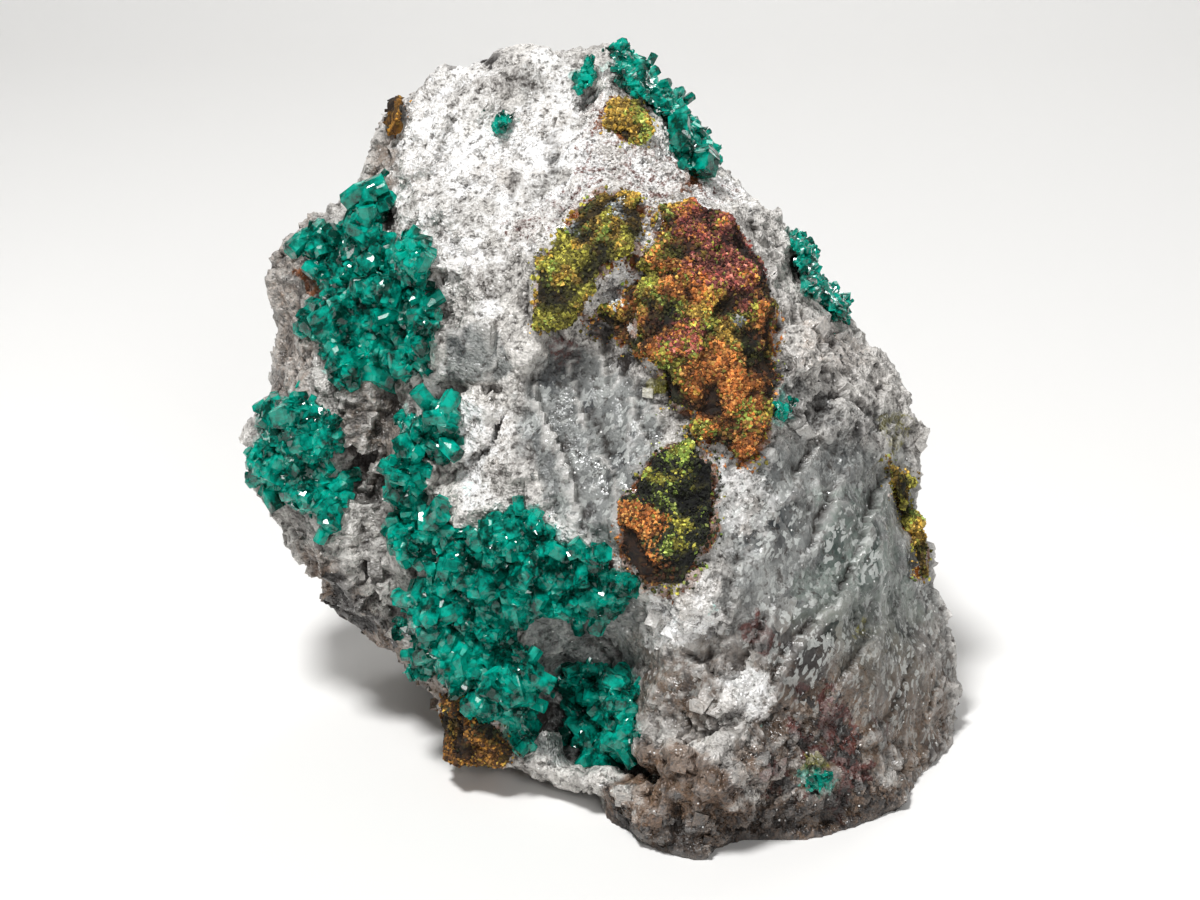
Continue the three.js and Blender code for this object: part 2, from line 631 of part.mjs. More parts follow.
// One group of dioptase: a thin druse over its outline and the crystals that stand on it
function dioptaseSolid(group, druseSkin, grow) {
  const random = seededRandom(group.seed);
  const leaning = () => new THREE.Vector3(random() - 0.5, random() - 0.5, random() - 0.5);
  let solid = druseSkin.intersect(seenThrough(group));
  const plant = (right, up, radius, stand, unrest) => {
    const lean = leaning().multiplyScalar(unrest);
    const spin = 2 * Math.PI * random();
    const crystal = crystalSolid(landing(right, up), radius + grow, stand + grow, lean, spin);
    solid = solid.add(crystal);
  };
  for (const [right, up, radius, stand] of group.large) {
    plant(right, up, radius, stand, LARGE_UNREST);
  }
  for (const [right, up] of placesWithin(group.outline, group.spacing, random)) {
    const radius = THREE.MathUtils.lerp(...group.radii, random());
    const stand = radius * THREE.MathUtils.lerp(...SMALL_STAND, random());
    plant(right, up, radius, stand, SMALL_UNREST);
  }
  return solid;
}

// An outline with a ragged edge: a place moved at random in the middle of every long side
function ragged(outline, seed) {
  const random = seededRandom(seed);
  const moved = (value) => value + RAGGED_EDGE * (random() - 0.5);
  return outline.flatMap(([right, up], index) => {
    const [nextRight, nextUp] = outline[(index + 1) % outline.length];
    const isShort = Math.hypot(nextRight - right, nextUp - up) < SHORT_SIDE;
    const middle = [moved((right + nextRight) / 2), moved((up + nextUp) / 2)];
    return isShort ? [[right, up]] : [[right, up], middle];
  });
}

// One crust: a layer of even thickness over its outline
function crustSolid(patch, crustSkin) {
  const outline = ragged(patch.outline, patch.name.length);
  return crustSkin.intersect(seenThrough({ ...patch, outline }));
}

// The specimen. Every group keeps a gap to the calcite, and every crust to the crystals too.
const specimen = new THREE.Group();
const ground = groundBelow(0);
const druseSkin = calciteSolid(DRUSE_THICKNESS + GAP);
const crustSkin = calciteSolid(CRUST_THICKNESS + GAP);
let taken = calciteSolid(GAP).add(ground);

specimen.add(meshOf('matrix', calciteSolid(0).subtract(ground), calciteMaterial()));
for (const group of DIOPTASE_GROUPS) {
  const solid = largestPiece(dioptaseSolid(group, druseSkin, 0).subtract(taken));
  specimen.add(meshOf(group.name, solid, dioptaseMaterial()));
}
for (const group of DIOPTASE_GROUPS) {
  taken = taken.add(dioptaseSolid(group, druseSkin, GAP));
}
for (const patch of CRUSTS) {
  const solid = largestPiece(crustSolid(patch, crustSkin).subtract(taken));
  specimen.add(meshOf(patch.name, solid, crustMaterial(patch.colour)));
}

// The origin goes to the middle of the footprint's box, on the resting face.
const box = new THREE.Box3().setFromObject(specimen);
const middle = box.getCenter(new THREE.Vector3());
specimen.position.set(-middle.x, -middle.y, 0);

export default specimen;
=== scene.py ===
# %% [markdown]
# # Dioptase on calcite
#
# A hand specimen: a broken block of white and grey calcite, groups of emerald-green dioptase
# crystals, and earthy crusts of iron oxide. The measured solids come in as the frame. Here each
# of them gets the fine surface that the stone has: cleavage steps, sugar grains, broken crystals
# and thousands of crust granules, all as real mesh.

# %% The frame
import json
import math

import bpy
import numpy as np
from mathutils import Matrix, Quaternion, Vector
from mathutils.bvhtree import BVHTree

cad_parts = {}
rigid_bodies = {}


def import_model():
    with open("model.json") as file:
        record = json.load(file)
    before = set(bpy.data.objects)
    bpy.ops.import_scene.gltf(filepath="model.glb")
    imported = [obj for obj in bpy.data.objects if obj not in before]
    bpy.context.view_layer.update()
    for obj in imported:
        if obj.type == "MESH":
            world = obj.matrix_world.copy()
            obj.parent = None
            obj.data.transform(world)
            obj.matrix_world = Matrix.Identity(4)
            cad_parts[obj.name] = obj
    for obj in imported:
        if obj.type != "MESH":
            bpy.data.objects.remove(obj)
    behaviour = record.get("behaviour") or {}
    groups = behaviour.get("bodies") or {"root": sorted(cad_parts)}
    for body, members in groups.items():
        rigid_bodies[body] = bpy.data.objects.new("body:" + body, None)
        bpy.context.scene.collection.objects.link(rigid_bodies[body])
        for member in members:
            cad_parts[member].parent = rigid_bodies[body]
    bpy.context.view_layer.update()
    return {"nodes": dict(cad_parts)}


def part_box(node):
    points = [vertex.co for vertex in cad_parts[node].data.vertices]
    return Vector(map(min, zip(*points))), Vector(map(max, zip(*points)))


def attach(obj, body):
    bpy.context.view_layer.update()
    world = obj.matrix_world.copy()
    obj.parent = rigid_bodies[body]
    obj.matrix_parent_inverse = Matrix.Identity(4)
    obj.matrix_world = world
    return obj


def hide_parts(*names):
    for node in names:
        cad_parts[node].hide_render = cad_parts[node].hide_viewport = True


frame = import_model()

NODES = frame["nodes"]
MM = 0.001

# %% [markdown]
# ## Seeing the stone as the eye does
#
# Every patch of the front was read across the line of sight of an eye 240 mm off, 20 degrees
# above the horizon. "Right" and "up" are millimetres across that view and "out" comes towards
# the eye. The same three numbers place the masks, the grains and the camera.

# %% The line of sight
EYE_DISTANCE = 240.0
EYE_ELEVATION = math.radians(20)
MIDDLE = np.array([-0.60, 2.92, 26.8])
ACROSS = np.array([1.0, 0.0, 0.0])
RISE = np.array([0.0, math.sin(EYE_ELEVATION), math.cos(EYE_ELEVATION)])
TOWARDS = np.array([0.0, -math.cos(EYE_ELEVATION), math.sin(EYE_ELEVATION)])


def as_seen(points):
    """Right, up and out of points, all in millimetres."""
    offset = points - MIDDLE
    out = offset @ TOWARDS
    nearness = (EYE_DISTANCE - out) / EYE_DISTANCE
    return offset @ ACROSS / nearness, offset @ RISE / nearness, out


# %% [markdown]
# ## Noise that a mesh can be cut with
#
# Broken stone is a random thing with rules: lumps, flat broken faces, grains. Two noises make
# all of it. Soft noise gives lumps and stains. Cell noise gives each point its nearest random
# seed, so that a whole cell can tilt as one flat face. Both work on arrays of points at once,
# which is what lets a mesh of a hundred thousand points be shaped in a second or two.

# %% Soft noise and cell noise
def hashed(cell, seed):
    """A random number from 0 to 1 for each row of whole numbers."""
    mixed = (cell[:, 0] * 374761393 + cell[:, 1] * 668265263 + cell[:, 2] * 1274126177
             + seed * 362437) & 0xFFFFFFFF
    mixed = ((mixed ^ (mixed >> 13)) * 1103515245) & 0xFFFFFFFF
    mixed = ((mixed ^ (mixed >> 16)) * 2246822519) & 0xFFFFFFFF
    return ((mixed ^ (mixed >> 15)) & 0xFFFFFF) / float(0xFFFFFF)


def soft_noise(points, size, seed=0):
    """Smooth noise from -1 to 1 whose lumps are about size millimetres across."""
    scaled = points / size
    base = np.floor(scaled).astype(np.int64)
    part = scaled - base
    part = part * part * (3 - 2 * part)
    total = np.zeros(len(points))
    for corner in np.ndindex(2, 2, 2):
        weight = np.prod(np.where(np.array(corner) == 1, part, 1 - part), axis=1)
        total += weight * hashed(base + np.array(corner), seed)
    return 2 * total - 1


def cell_noise(points, size, seed=0):
    """For each point: its offset from the nearest seed, in millimetres, and the seed's own
    three random numbers."""
    scaled = points / size
    base = np.floor(scaled).astype(np.int64)
    nearest = np.full(len(points), 1e9)
    offset = np.zeros_like(scaled)
    owner = np.zeros_like(base)
    for step in np.ndindex(3, 3, 3):
        cell = base + np.array(step) - 1
        seat = cell + np.stack([hashed(cell, seed + axis) for axis in range(3)], axis=1)
        away = scaled - seat
        distance = np.einsum("ij,ij->i", away, away)
        closer = distance < nearest
        nearest[closer] = distance[closer]
        offset[closer] = away[closer]
        owner[closer] = cell[closer]
    randoms = np.stack([hashed(owner, seed + 7 + axis) for axis in range(3)], axis=1)
    return offset * size, randoms


def hashed_row(randoms):
    """One more random number from a row of three."""
    return (randoms @ np.array([13.7, 7.3, 29.1])) % 1.0


def broken_faces(points, size, tilt, step, seed):
    """Height in millimetres of flat broken faces: each cell tilts and steps at random."""
    offset, randoms = cell_noise(points, size, seed)
    slope = (randoms - 0.5) * 2 * tilt
    return np.einsum("ij,ij->i", slope, offset) + step * (hashed_row(randoms) - 0.5)


def largest(*masks):
    """The highest of several masks at each point."""
    return np.maximum.reduce(masks)


def smoothstep(value, low, high):
    """0 below low, 1 above high, and an even curve between them."""
    share = np.clip((value - low) / (high - low), 0, 1)
    return share * share * (3 - 2 * share)


# %% [markdown]
# ## Patches
#
# A patch is an outline in the eye's view, [right, up] in millimetres. The masks ask how far a
# point lies inside an outline, and noise frays that distance, because no edge on a stone is
# drawn with a ruler.

# %% Distance to an outline
def inside_distance(outline, right, up):
    """Distance to the outline's edge in millimetres, positive inside and negative outside."""
    nearest = np.full(len(right), 1e9)
    inside = np.zeros(len(right), dtype=bool)
    corners = list(zip(outline, outline[1:] + outline[:1]))
    for (right1, up1), (right2, up2) in corners:
        side = np.array([right2 - right1, up2 - up1])
        along = ((right - right1) * side[0] + (up - up1) * side[1]) / max(side @ side, 1e-9)
        along = np.clip(along, 0, 1)
        gap = np.hypot(right - right1 - along * side[0], up - up1 - along * side[1])
        nearest = np.minimum(nearest, gap)
        if up1 != up2:
            crosses = (up1 > up) != (up2 > up)
            inside ^= crosses & (right < right1 + side[0] * (up - up1) / (up2 - up1))
    return np.where(inside, nearest, -nearest)


# %% Masks over a mesh
FRONT_FADE = (-9, -3)  # millimetres towards the eye where the masks of the front end


class Seen:
    """The points of a mesh as the eye sees them, and masks over them."""

    def __init__(self, points):
        self.points = points
        self.right, self.up, self.out = as_seen(points)
        self.front = smoothstep(self.out, *FRONT_FADE)
        self.fray = soft_noise(points, 2.2, 91) + 0.6 * soft_noise(points, 0.8, 92)

    def patch(self, outline, soft=0.8, fray=0.8):
        """1 inside an outline, 0 outside, with an edge soft and frayed by these millimetres."""
        distance = inside_distance(outline, self.right, self.up) + fray * self.fray
        return smoothstep(distance, -soft, soft) * self.front

    def spot(self, right, up, radius, soft=0.5, fray=0.9):
        """The same for a round spot."""
        distance = radius - np.hypot(self.right - right, self.up - up) + fray * self.fray
        return smoothstep(distance, -soft, soft) * self.front

    def patches(self, listed):
        """A mask for each row of how strong the patch is and what patch takes."""
        return [share * self.patch(*rest) for share, *rest in listed]

    def spots(self, listed):
        """A mask for each row of how strong the spot is and what spot takes."""
        return [share * self.spot(*rest) for share, *rest in listed]


# %% Outlines of the calcite's own patches
SMOOTH_CAP = [(-10.5, 21), (-9, 26), (-10.5, 31), (-8.5, 36), (-8, 39), (-2.5, 39.5), (-1.5, 34),
              (-2, 28), (-7, 24)]
SUGARY_CAP = [(-20, 15), (-17, 14), (-11, 14), (-9.5, 22), (-8, 30), (-9, 36), (-2, 40),
              (-16, 40), (-21, 34), (-20.5, 25)]
POWDER_BAND = [(-10.5, 22.5), (-8, 23.5), (-4, 26), (-2, 29), (-2, 34.5), (0.5, 37.5), (2, 36),
               (0.5, 33), (3, 30.8), (6, 32), (9, 29), (14, 27), (15, 24.5), (10, 24.4), (5, 24),
               (3, 25.5), (0, 26.5), (-4, 22), (-6.5, 19.5), (-9, 20)]
POWDER_TONGUE = [(5, 24), (6.5, 21), (3.5, 19), (4.5, 17), (2.5, 14), (0, 13), (-2.5, 13.5),
                 (-1, 17), (1, 19.5), (4, 22)]
WHITE_CLUMP = [(-10.3, 31), (-9, 33), (-8.2, 35.6), (-7, 34.4), (-6.2, 31.5), (-7.5, 30),
               (-9.5, 29.8)]
WHITE_SPARKLE = [(5.5, -14), (8, -12.8), (12, -13.2), (12.3, -17.8), (9, -19.4), (5, -18.5)]
CREAM_PATCH = [(12, -22), (17, -21), (18, -24.5), (16.5, -27.5), (12, -28), (11, -25)]
SUGARY_SPUR = [(12, -1), (15, -1.2), (17.5, -2.5), (16.5, -7), (14.8, -10.5), (12, -11), (12, -5)]
WHITE_RIM = [(-18, 6.5), (-15.5, 9.5), (-15, 4.5), (-10, 5.5), (-8.5, 2), (-11, -4),
             (-6, -6.5), (-1, -8.5), (-2.5, -10), (-8, -6.5), (-13.5, -6), (-16, 0.5),
             (-15, 3.5), (-19.5, 4.3)]
GREY_SLAB = [(-8, 6), (-5, 10.5), (0, 10), (5.5, 5), (6, 0), (4, -4), (2, -9.5), (-2, -8.5),
             (-5.5, -5), (-8, 0)]
GREY_BLOCK = [(-15.5, 6.8), (-15.5, 12), (-11, 13), (-8.5, 8), (-10.5, 6.6)]
POCKET = [(-7, -16.5), (3.5, -14.5), (5, -18.5), (8, -21), (11, -24), (5, -24.5), (3.5, -31),
          (-6.5, -31), (-7, -22)]
RIGHT_FACE = [(12, -1.5), (18, 0.5), (27, 1), (30, -3), (33, -12), (34.5, -22), (34, -30),
              (26, -30), (20, -27), (13, -24), (12, -18), (12.5, -12), (10.5, -8)]
GREEN_TINT = [(22, -5), (28, -3), (32, -13), (33.5, -24), (32, -33), (27, -31), (24, -22),
              (19, -17)]
BROWN_FOOT = [(1, -34.5), (5, -35.5), (12, -36.5), (20, -34), (31, -33), (34, -36), (30, -41),
              (8, -44), (-1, -39)]
TAN_FOOT = [(3.2, -28.6), (8, -29.4), (12, -31), (14.4, -34), (13, -37.5), (6, -37), (2.6, -34.5)]
MAROON_FOOT = [(14, -28.5), (18, -29), (20.4, -24), (22, -23), (25.5, -24.5), (27, -29),
               (28.5, -33), (24, -36), (16, -35), (12.5, -32)]
LOWER_GREY = [(3, -15), (13, -12), (12, -1), (20, 2), (31, 1), (36, -15), (36, -34), (20, -33),
              (12, -28), (3, -28)]
CHIP_FOOT = [(-23.5, 25.5), (-22.5, 31), (-20.6, 34), (-19.4, 33), (-19.9, 27), (-21, 25)]
LEFT_COLUMN = [(-34, 5), (-29, 6), (-28, 12), (-29.5, 20), (-27, 25), (-33, 24), (-36, 10)]
LEFT_SIDE = [(-36, 24), (-28, 27), (-20.5, 12), (-19, -2), (-21, -10), (-18, -20), (-24, -20),
             (-33, -10), (-37, 4)]
LEFT_RECESS = [(-27, 8), (-20, 8), (-18.5, 5), (-20, -4.5), (-26, -4), (-26.5, 2)]
UNDERSIDE = [(-30, -9), (-26, -12.5), (-22, -16), (-19, -20), (-15.5, -21), (-15, -26),
             (-24, -22), (-30, -16)]
# painted shadow: the ledge under the left side faces down and gets the dark stain
SHADOWED_LEDGE = [(-28, -13), (-25.5, -12.5), (-24, -14.6), (-21.5, -15.5), (-20, -19.5), (-26, -18)]
SHOULDER = [(17.5, 8), (20, 6.5), (24, 5), (30, 4), (30, 1.2), (24, 1), (19.5, 1.5), (18, 3)]
PALE_SHOULDER = [(19, 15), (23, 13), (28, 10), (26, 8), (20, 8)]

# %% [markdown]
# ## Meshes from arrays
#
# Blender meshes are built here from plain arrays: points, triangles and named values per point.
# One function gets an object from arrays, one reads an object's mesh back, and one scatters many
# copies of a small template over a surface and returns them as a single joined mesh.

# %% Between arrays and meshes
def mesh_object(name, points, faces, smooth=False):
    """An object in the scene from points in millimetres and faces of equal length."""
    mesh = bpy.data.meshes.new(name)
    sides = faces.shape[1]
    mesh.vertices.add(len(points))
    mesh.vertices.foreach_set("co", (points * MM).astype(np.float32).ravel())
    mesh.loops.add(faces.size)
    mesh.loops.foreach_set("vertex_index", faces.astype(np.int32).ravel())
    mesh.polygons.add(len(faces))
    mesh.polygons.foreach_set("loop_start", np.arange(0, faces.size, sides, dtype=np.int32))
    mesh.update(calc_edges=True)
    mesh.validate()
    mesh.shade_smooth() if smooth else mesh.shade_flat()
    thing = bpy.data.objects.new(name, mesh)
    bpy.context.scene.collection.objects.link(thing)
    return thing


def points_of(mesh):
    """Points in millimetres and their normals."""
    points = np.empty(len(mesh.vertices) * 3, dtype=np.float32)
    mesh.vertices.foreach_get("co", points)
    normals = np.empty(len(mesh.vertices) * 3, dtype=np.float32)
    mesh.vertices.foreach_get("normal", normals)
    return points.reshape(-1, 3).astype(float) / MM, normals.reshape(-1, 3).astype(float)


def set_points(mesh, points):
    mesh.vertices.foreach_set("co", (points * MM).astype(np.float32).ravel())
    mesh.update()


def set_values(mesh, name, values):
    """A named number per point, for the material to read."""
    attribute = mesh.attributes.new(name, "FLOAT", "POINT")
    attribute.data.foreach_set("value", values.astype(np.float32))


def set_colours(mesh, name, colours):
    """A named colour per point, for the material to read."""
    attribute = mesh.attributes.new(name, "FLOAT_COLOR", "POINT")
    full = np.concatenate([colours, np.ones((len(colours), 1))], axis=1)
    attribute.data.foreach_set("color", full.astype(np.float32).ravel())


def triangles_of(mesh):
    mesh.calc_loop_triangles()
    triangles = np.empty(len(mesh.loop_triangles) * 3, dtype=np.int32)
    mesh.loop_triangles.foreach_get("vertices", triangles)
    return triangles.reshape(-1, 3)


# %% From a measured solid to an even mesh
def finished(thing):
    """The object's mesh with its modifiers applied, and the modifiers gone."""
    graph = bpy.context.evaluated_depsgraph_get()
    mesh = bpy.data.meshes.new_from_object(thing.evaluated_get(graph))
    thing.modifiers.clear()
    thing.data = mesh
    return thing


def node_shape(node):
    """A measured solid as points in millimetres and triangles."""
    mesh = NODES[node].data
    return points_of(mesh)[0], triangles_of(mesh)


def remeshed(name, shape, voxel, rounds):
    """A shape with even faces, voxel millimetres wide, and softened corners. What overlaps in
    the shape becomes one."""
    copy = mesh_object(name, *shape)
    voxels = copy.modifiers.new("even faces", "REMESH")
    voxels.mode = "VOXEL"
    voxels.voxel_size = voxel * MM
    soften = copy.modifiers.new("soft corners", "SMOOTH")
    soften.factor = 0.5
    soften.iterations = rounds
    return finished(copy)


# %% Scattering
def surface_seats(mesh, count, weight, rng):
    """Random places on a mesh, more of them where weight, a value per point, is high. Gives
    places in millimetres, normals and each place's nearest point number."""
    points, normals = points_of(mesh)
    triangles = triangles_of(mesh)
    corners = points[triangles]
    area = np.linalg.norm(np.cross(corners[:, 1] - corners[:, 0], corners[:, 2] - corners[:, 0]),
                          axis=1)
    chance = area * weight[triangles].mean(axis=1)
    chosen = rng.choice(len(triangles), size=count, p=chance / chance.sum())
    share = rng.random((count, 2))
    share = np.where(share.sum(axis=1, keepdims=True) > 1, 1 - share, share)
    a, b, c = (corners[chosen, k] for k in range(3))
    places = a + share[:, :1] * (b - a) + share[:, 1:] * (c - a)
    facing = normals[triangles[chosen]].mean(axis=1)
    facing /= np.linalg.norm(facing, axis=1, keepdims=True)
    return places, facing, triangles[chosen, 0]


def turned(quaternion):
    """Rotation matrices from rows of four numbers of any length."""
    quaternion = quaternion / np.linalg.norm(quaternion, axis=1, keepdims=True)
    w, x, y, z = quaternion.T
    rows = [1 - 2 * (y * y + z * z), 2 * (x * y - z * w), 2 * (x * z + y * w),
            2 * (x * y + z * w), 1 - 2 * (x * x + z * z), 2 * (y * z - x * w),
            2 * (x * z - y * w), 2 * (y * z + x * w), 1 - 2 * (x * x + y * y)]
    return np.stack(rows, axis=1).reshape(-1, 3, 3)


def scattered(template, places, frames):
    """Points and faces of many copies of a template (points, faces). frames holds each copy's
    three axes, with its size in them."""
    shape, faces = template
    points = np.einsum("nij,pj->npi", frames, shape) + places[:, None, :]
    shifted = faces[None] + (np.arange(len(places)) * len(shape))[:, None, None]
    return points.reshape(-1, 3), shifted.reshape(-1, faces.shape[1])


# %% [markdown]
# ## Materials
#
# Colours are written as sRGB hex, the way a colour picker gives them, and turned to linear by
# one function. One function adds a node with its settings, values and links. Scales are worked
# out from millimetres: a pattern whose lumps are 3 mm across has scale 1 / 0.003. A last
# function gives a finished piece its material and its body, and hides the measured solid that
# it stands for.

# %% Colour and node helpers
def linear(hex_colour):
    """sRGB hex to linear red, green, blue, alpha."""
    channels = [int(hex_colour[k:k + 2], 16) / 255 for k in (1, 3, 5)]
    return tuple(c / 12.92 if c <= 0.04045 else ((c + 0.055) / 1.055) ** 2.4
                 for c in channels) + (1.0,)


def add(tree, kind, inputs=None, **settings):
    """A node with its settings. Each input takes a hex colour, a value, or what to link: a
    socket, or a node, whose first output in use is then taken."""
    new = tree.nodes.new("ShaderNode" + kind)
    for name, value in settings.items():
        setattr(new, name, value)
    for socket, value in (inputs or {}).items():
        if isinstance(value, bpy.types.Node):
            value = next(output for output in value.outputs if output.enabled)
        if isinstance(value, bpy.types.NodeSocket):
            tree.links.new(value, new.inputs[socket])
        else:
            new.inputs[socket].default_value = linear(value) if isinstance(value, str) else value
    return new


def per_mm(size):
    """Texture scale for a pattern whose lumps are size millimetres across."""
    return 1 / (size * MM)


def tilted_cells(tree, cells, place):
    """Height over the cells of a Voronoi texture, each of which tilts at random as a flat face."""
    away = add(tree, "VectorMath", {0: place, 1: cells.outputs["Position"]}, operation="SUBTRACT")
    lean = add(tree, "VectorMath", {0: cells.outputs["Color"], 1: (0.5, 0.5, 0.5)},
               operation="SUBTRACT")
    return add(tree, "VectorMath", {0: away, 1: lean}, operation="DOT_PRODUCT")


def blank_material(name):
    """A new material and its empty node tree."""
    material = bpy.data.materials.new(name)
    material.use_nodes = True
    material.node_tree.nodes.clear()
    return material, material.node_tree


def dress(piece, material, node=None):
    """A piece gets its material, rides on the one body, and may stand for a measured solid."""
    piece.data.materials.clear()
    piece.data.materials.append(material)
    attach(piece, "root")
    if node:
        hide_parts(node)


# %% [markdown]
# ### Calcite
#
# Common name: calcite, partly a sugary mass of small crystals, partly cleaved faces. It is
# milky with cracks, so it could have been made with light that walks below its surface. At this
# size the walk is shorter than a grain, and plain pale colour with a strong grain looks the
# same. Its index is 1.49 to 1.66. Fresh cleavage is glossy and weathered faces are dull, so each
# facet has a gloss of its own. Cleaved faces show as tilted cells drawn out along the fracture,
# with pale chips on them. The stains are masks that the mesh carries; noise frays their edges.

# %% Calcite
CALCITE_IOR = 1.57
FLUTE = 0.53 * ACROSS + 0.85 * RISE
FLUTE_CLIMB = -0.85 * ACROSS + 0.53 * RISE
# Each stain: how strong its mask has to be to show and to cover, then its dark and light tone.
STAINS = {
    "grey": (0.15, 0.85, "#2C3033", "#A0A29F"),
    "tan": (0.20, 0.90, "#442C20", "#9A7454"),
    "green": (0.30, 0.90, "#36463E", "#84948A"),
    # The soil stain is brown soil on the foot and painted shade on the undersides, the recess on
    # the left and the lower parts.
    "soil_and_shade": (0.20, 0.90, "#2A1E18", "#7A6452"),
    "powder": (0.30, 0.75, "#CDC7C0", "#FFFFFF"),
    "rust": (0.42, 0.58, "#4A2814", "#9A5A2C"),
    "maroon": (0.42, 0.58, "#2C1818", "#6E4038"),
    "olive": (0.42, 0.58, "#4A481C", "#9A9238"),
    "teal": (0.40, 0.80, "#0E8F7E", "#54CFC0"),
    "dark": (0.42, 0.55, "#171413", "#2E2724"),
}
STAIN_FRAY = 0.8
BARE_STONE = {6: "#5A5551", 7: "#E4E0DA"}
# Colours laid over the stone: pale chips, painted shade in small pits, pale edges that are partly
# bruised calcite and partly painted highlight, painted shade in the hollows, and painted glints on
# grains.
PALE_CHIP, PIT_SHADE, BRUISE_AND_HIGHLIGHT, HOLLOW_SHADE, PAINTED_GLINT = "#D2D5D1", "#35302C", "#E2DED9", "#2A2420", "#FBFAF7"


def calcite_material(name, facet_strength):
    """Calcite whose smallest grains lie as flat facets, facet_strength strong."""
    material, tree = blank_material(name)
    place = add(tree, "TexCoord").outputs["Object"]
    carried = {mask: add(tree, "Attribute", attribute_name=mask).outputs["Fac"]
               for mask in [*STAINS, "tone", "fleck", "edge", "hollow"]}

    # grain in four sizes
    lumps, specks, dust = [
        add(tree, "TexNoise",
            {"Vector": place, "Scale": per_mm(size), "Detail": detail, "Roughness": broken})
        for size, detail, broken in ((5, 4, 0.65), (0.8, 2, 0.8), (0.3, 1, 0.8))]
    grains = add(tree, "TexVoronoi", {"Vector": place, "Scale": per_mm(0.6)})
    grain_own = add(tree, "SeparateColor", {"Color": grains.outputs["Color"]}).outputs["Blue"]

    # cleavage: places drawn out along the fracture and broken up by flakes
    ways = {"X": 0.6 * FLUTE, "Y": FLUTE_CLIMB, "Z": TOWARDS}
    drawn = add(tree, "CombineXYZ", {
        axis: add(tree, "VectorMath", {0: place, 1: tuple(way)}, operation="DOT_PRODUCT")
        for axis, way in ways.items()})
    flakes = add(tree, "TexNoise",
                 {"Vector": drawn, "Scale": per_mm(1.1), "Detail": 2, "Roughness": 0.8})
    warped = add(tree, "VectorMath", {0: flakes.outputs["Color"], 1: (0.6 * MM,) * 3, 2: drawn},
                 operation="MULTIPLY_ADD")
    planes = add(tree, "TexVoronoi", {"Vector": warped, "Scale": per_mm(1.9)})
    plane_own = add(tree, "SeparateColor", {"Color": planes.outputs["Color"]}).outputs["Red"]
    chips = add(tree, "TexVoronoi", {"Vector": warped, "Scale": per_mm(0.42)})
    chip_own = add(tree, "SeparateColor", {"Color": chips.outputs["Color"]}).outputs["Green"]

    # how light the stone is, where it is grainy and where it is cleaved
    grainy = add(tree, "Math", {0: lumps, 1: 2.2, 2: -2.1}, operation="MULTIPLY_ADD")
    for layer, weight in ((dust, 1.2), (specks, 1.5), (carried["tone"], 0.4)):
        grainy = add(tree, "Math", {0: layer, 1: weight, 2: grainy}, operation="MULTIPLY_ADD")
    grainy.use_clamp = True
    calm = add(tree, "Math", {0: lumps, 1: 1.8, 2: -0.82}, operation="MULTIPLY_ADD")
    cleaved = add(tree, "Math", {0: plane_own, 1: 0.75, 2: calm}, operation="MULTIPLY_ADD",
                  use_clamp=True)
    tone = add(tree, "Mix", {0: carried["fleck"], 2: grainy, 3: cleaved})

    # bare stone, then one stain over the other
    colour = add(tree, "Mix", {0: tone, **BARE_STONE}, data_type="RGBA")
    for mask, (shows, covers, dark, light) in STAINS.items():
        frayed = add(tree, "Math", {0: specks, 1: STAIN_FRAY, 2: carried[mask]},
                     operation="MULTIPLY_ADD")
        share = add(tree, "MapRange", {"Value": frayed, "From Min": shows + STAIN_FRAY / 2,
                                       "From Max": covers + STAIN_FRAY / 2})
        stain = add(tree, "Mix", {0: tone, 6: dark, 7: light}, data_type="RGBA")
        colour = add(tree, "Mix", {0: share, 6: colour, 7: stain}, data_type="RGBA")

    # pale chips on cleaved faces, painted shade in small pits, pale edges that are partly bruised
    # and partly painted highlight, painted shade in the hollows, and painted glints on grains
    flake = add(tree, "MapRange",
                {"Value": flakes, "From Min": 0.57, "From Max": 0.61, "To Max": 0.55})
    chip = add(tree, "MapRange",
               {"Value": chip_own, "From Min": 0.85, "From Max": 0.88, "To Max": 0.6})
    either = add(tree, "Math", {0: flake, 1: chip}, operation="MAXIMUM")
    pale = add(tree, "Math", {0: either, 1: carried["fleck"]}, operation="MULTIPLY")
    # painted shade: dark specks where the fine noise is low stand for the shade in small pits
    pit_shade = add(tree, "MapRange", {"Value": specks, "From Min": 0.33, "From Max": 0.43,
                                  "To Min": 0.75, "To Max": 0.0})
    # painted glints: a few grains get a white dot at their heart, a painted highlight
    lucky = add(tree, "MapRange", {"Value": grain_own, "From Min": 0.86, "From Max": 0.88})
    heart = add(tree, "MapRange", {"Value": grains.outputs["Distance"], "From Min": 0.10,
                                   "From Max": 0.20, "To Min": 0.9, "To Max": 0.0})
    painted_glint = add(tree, "Math", {0: heart, 1: lucky}, operation="MULTIPLY")
    for share, paint in ((pale, PALE_CHIP), (pit_shade, PIT_SHADE), (carried["edge"], BRUISE_AND_HIGHLIGHT),
                         (carried["hollow"], HOLLOW_SHADE), (painted_glint, PAINTED_GLINT)):
        colour = add(tree, "Mix", {0: share, 6: colour, 7: paint}, data_type="RGBA")

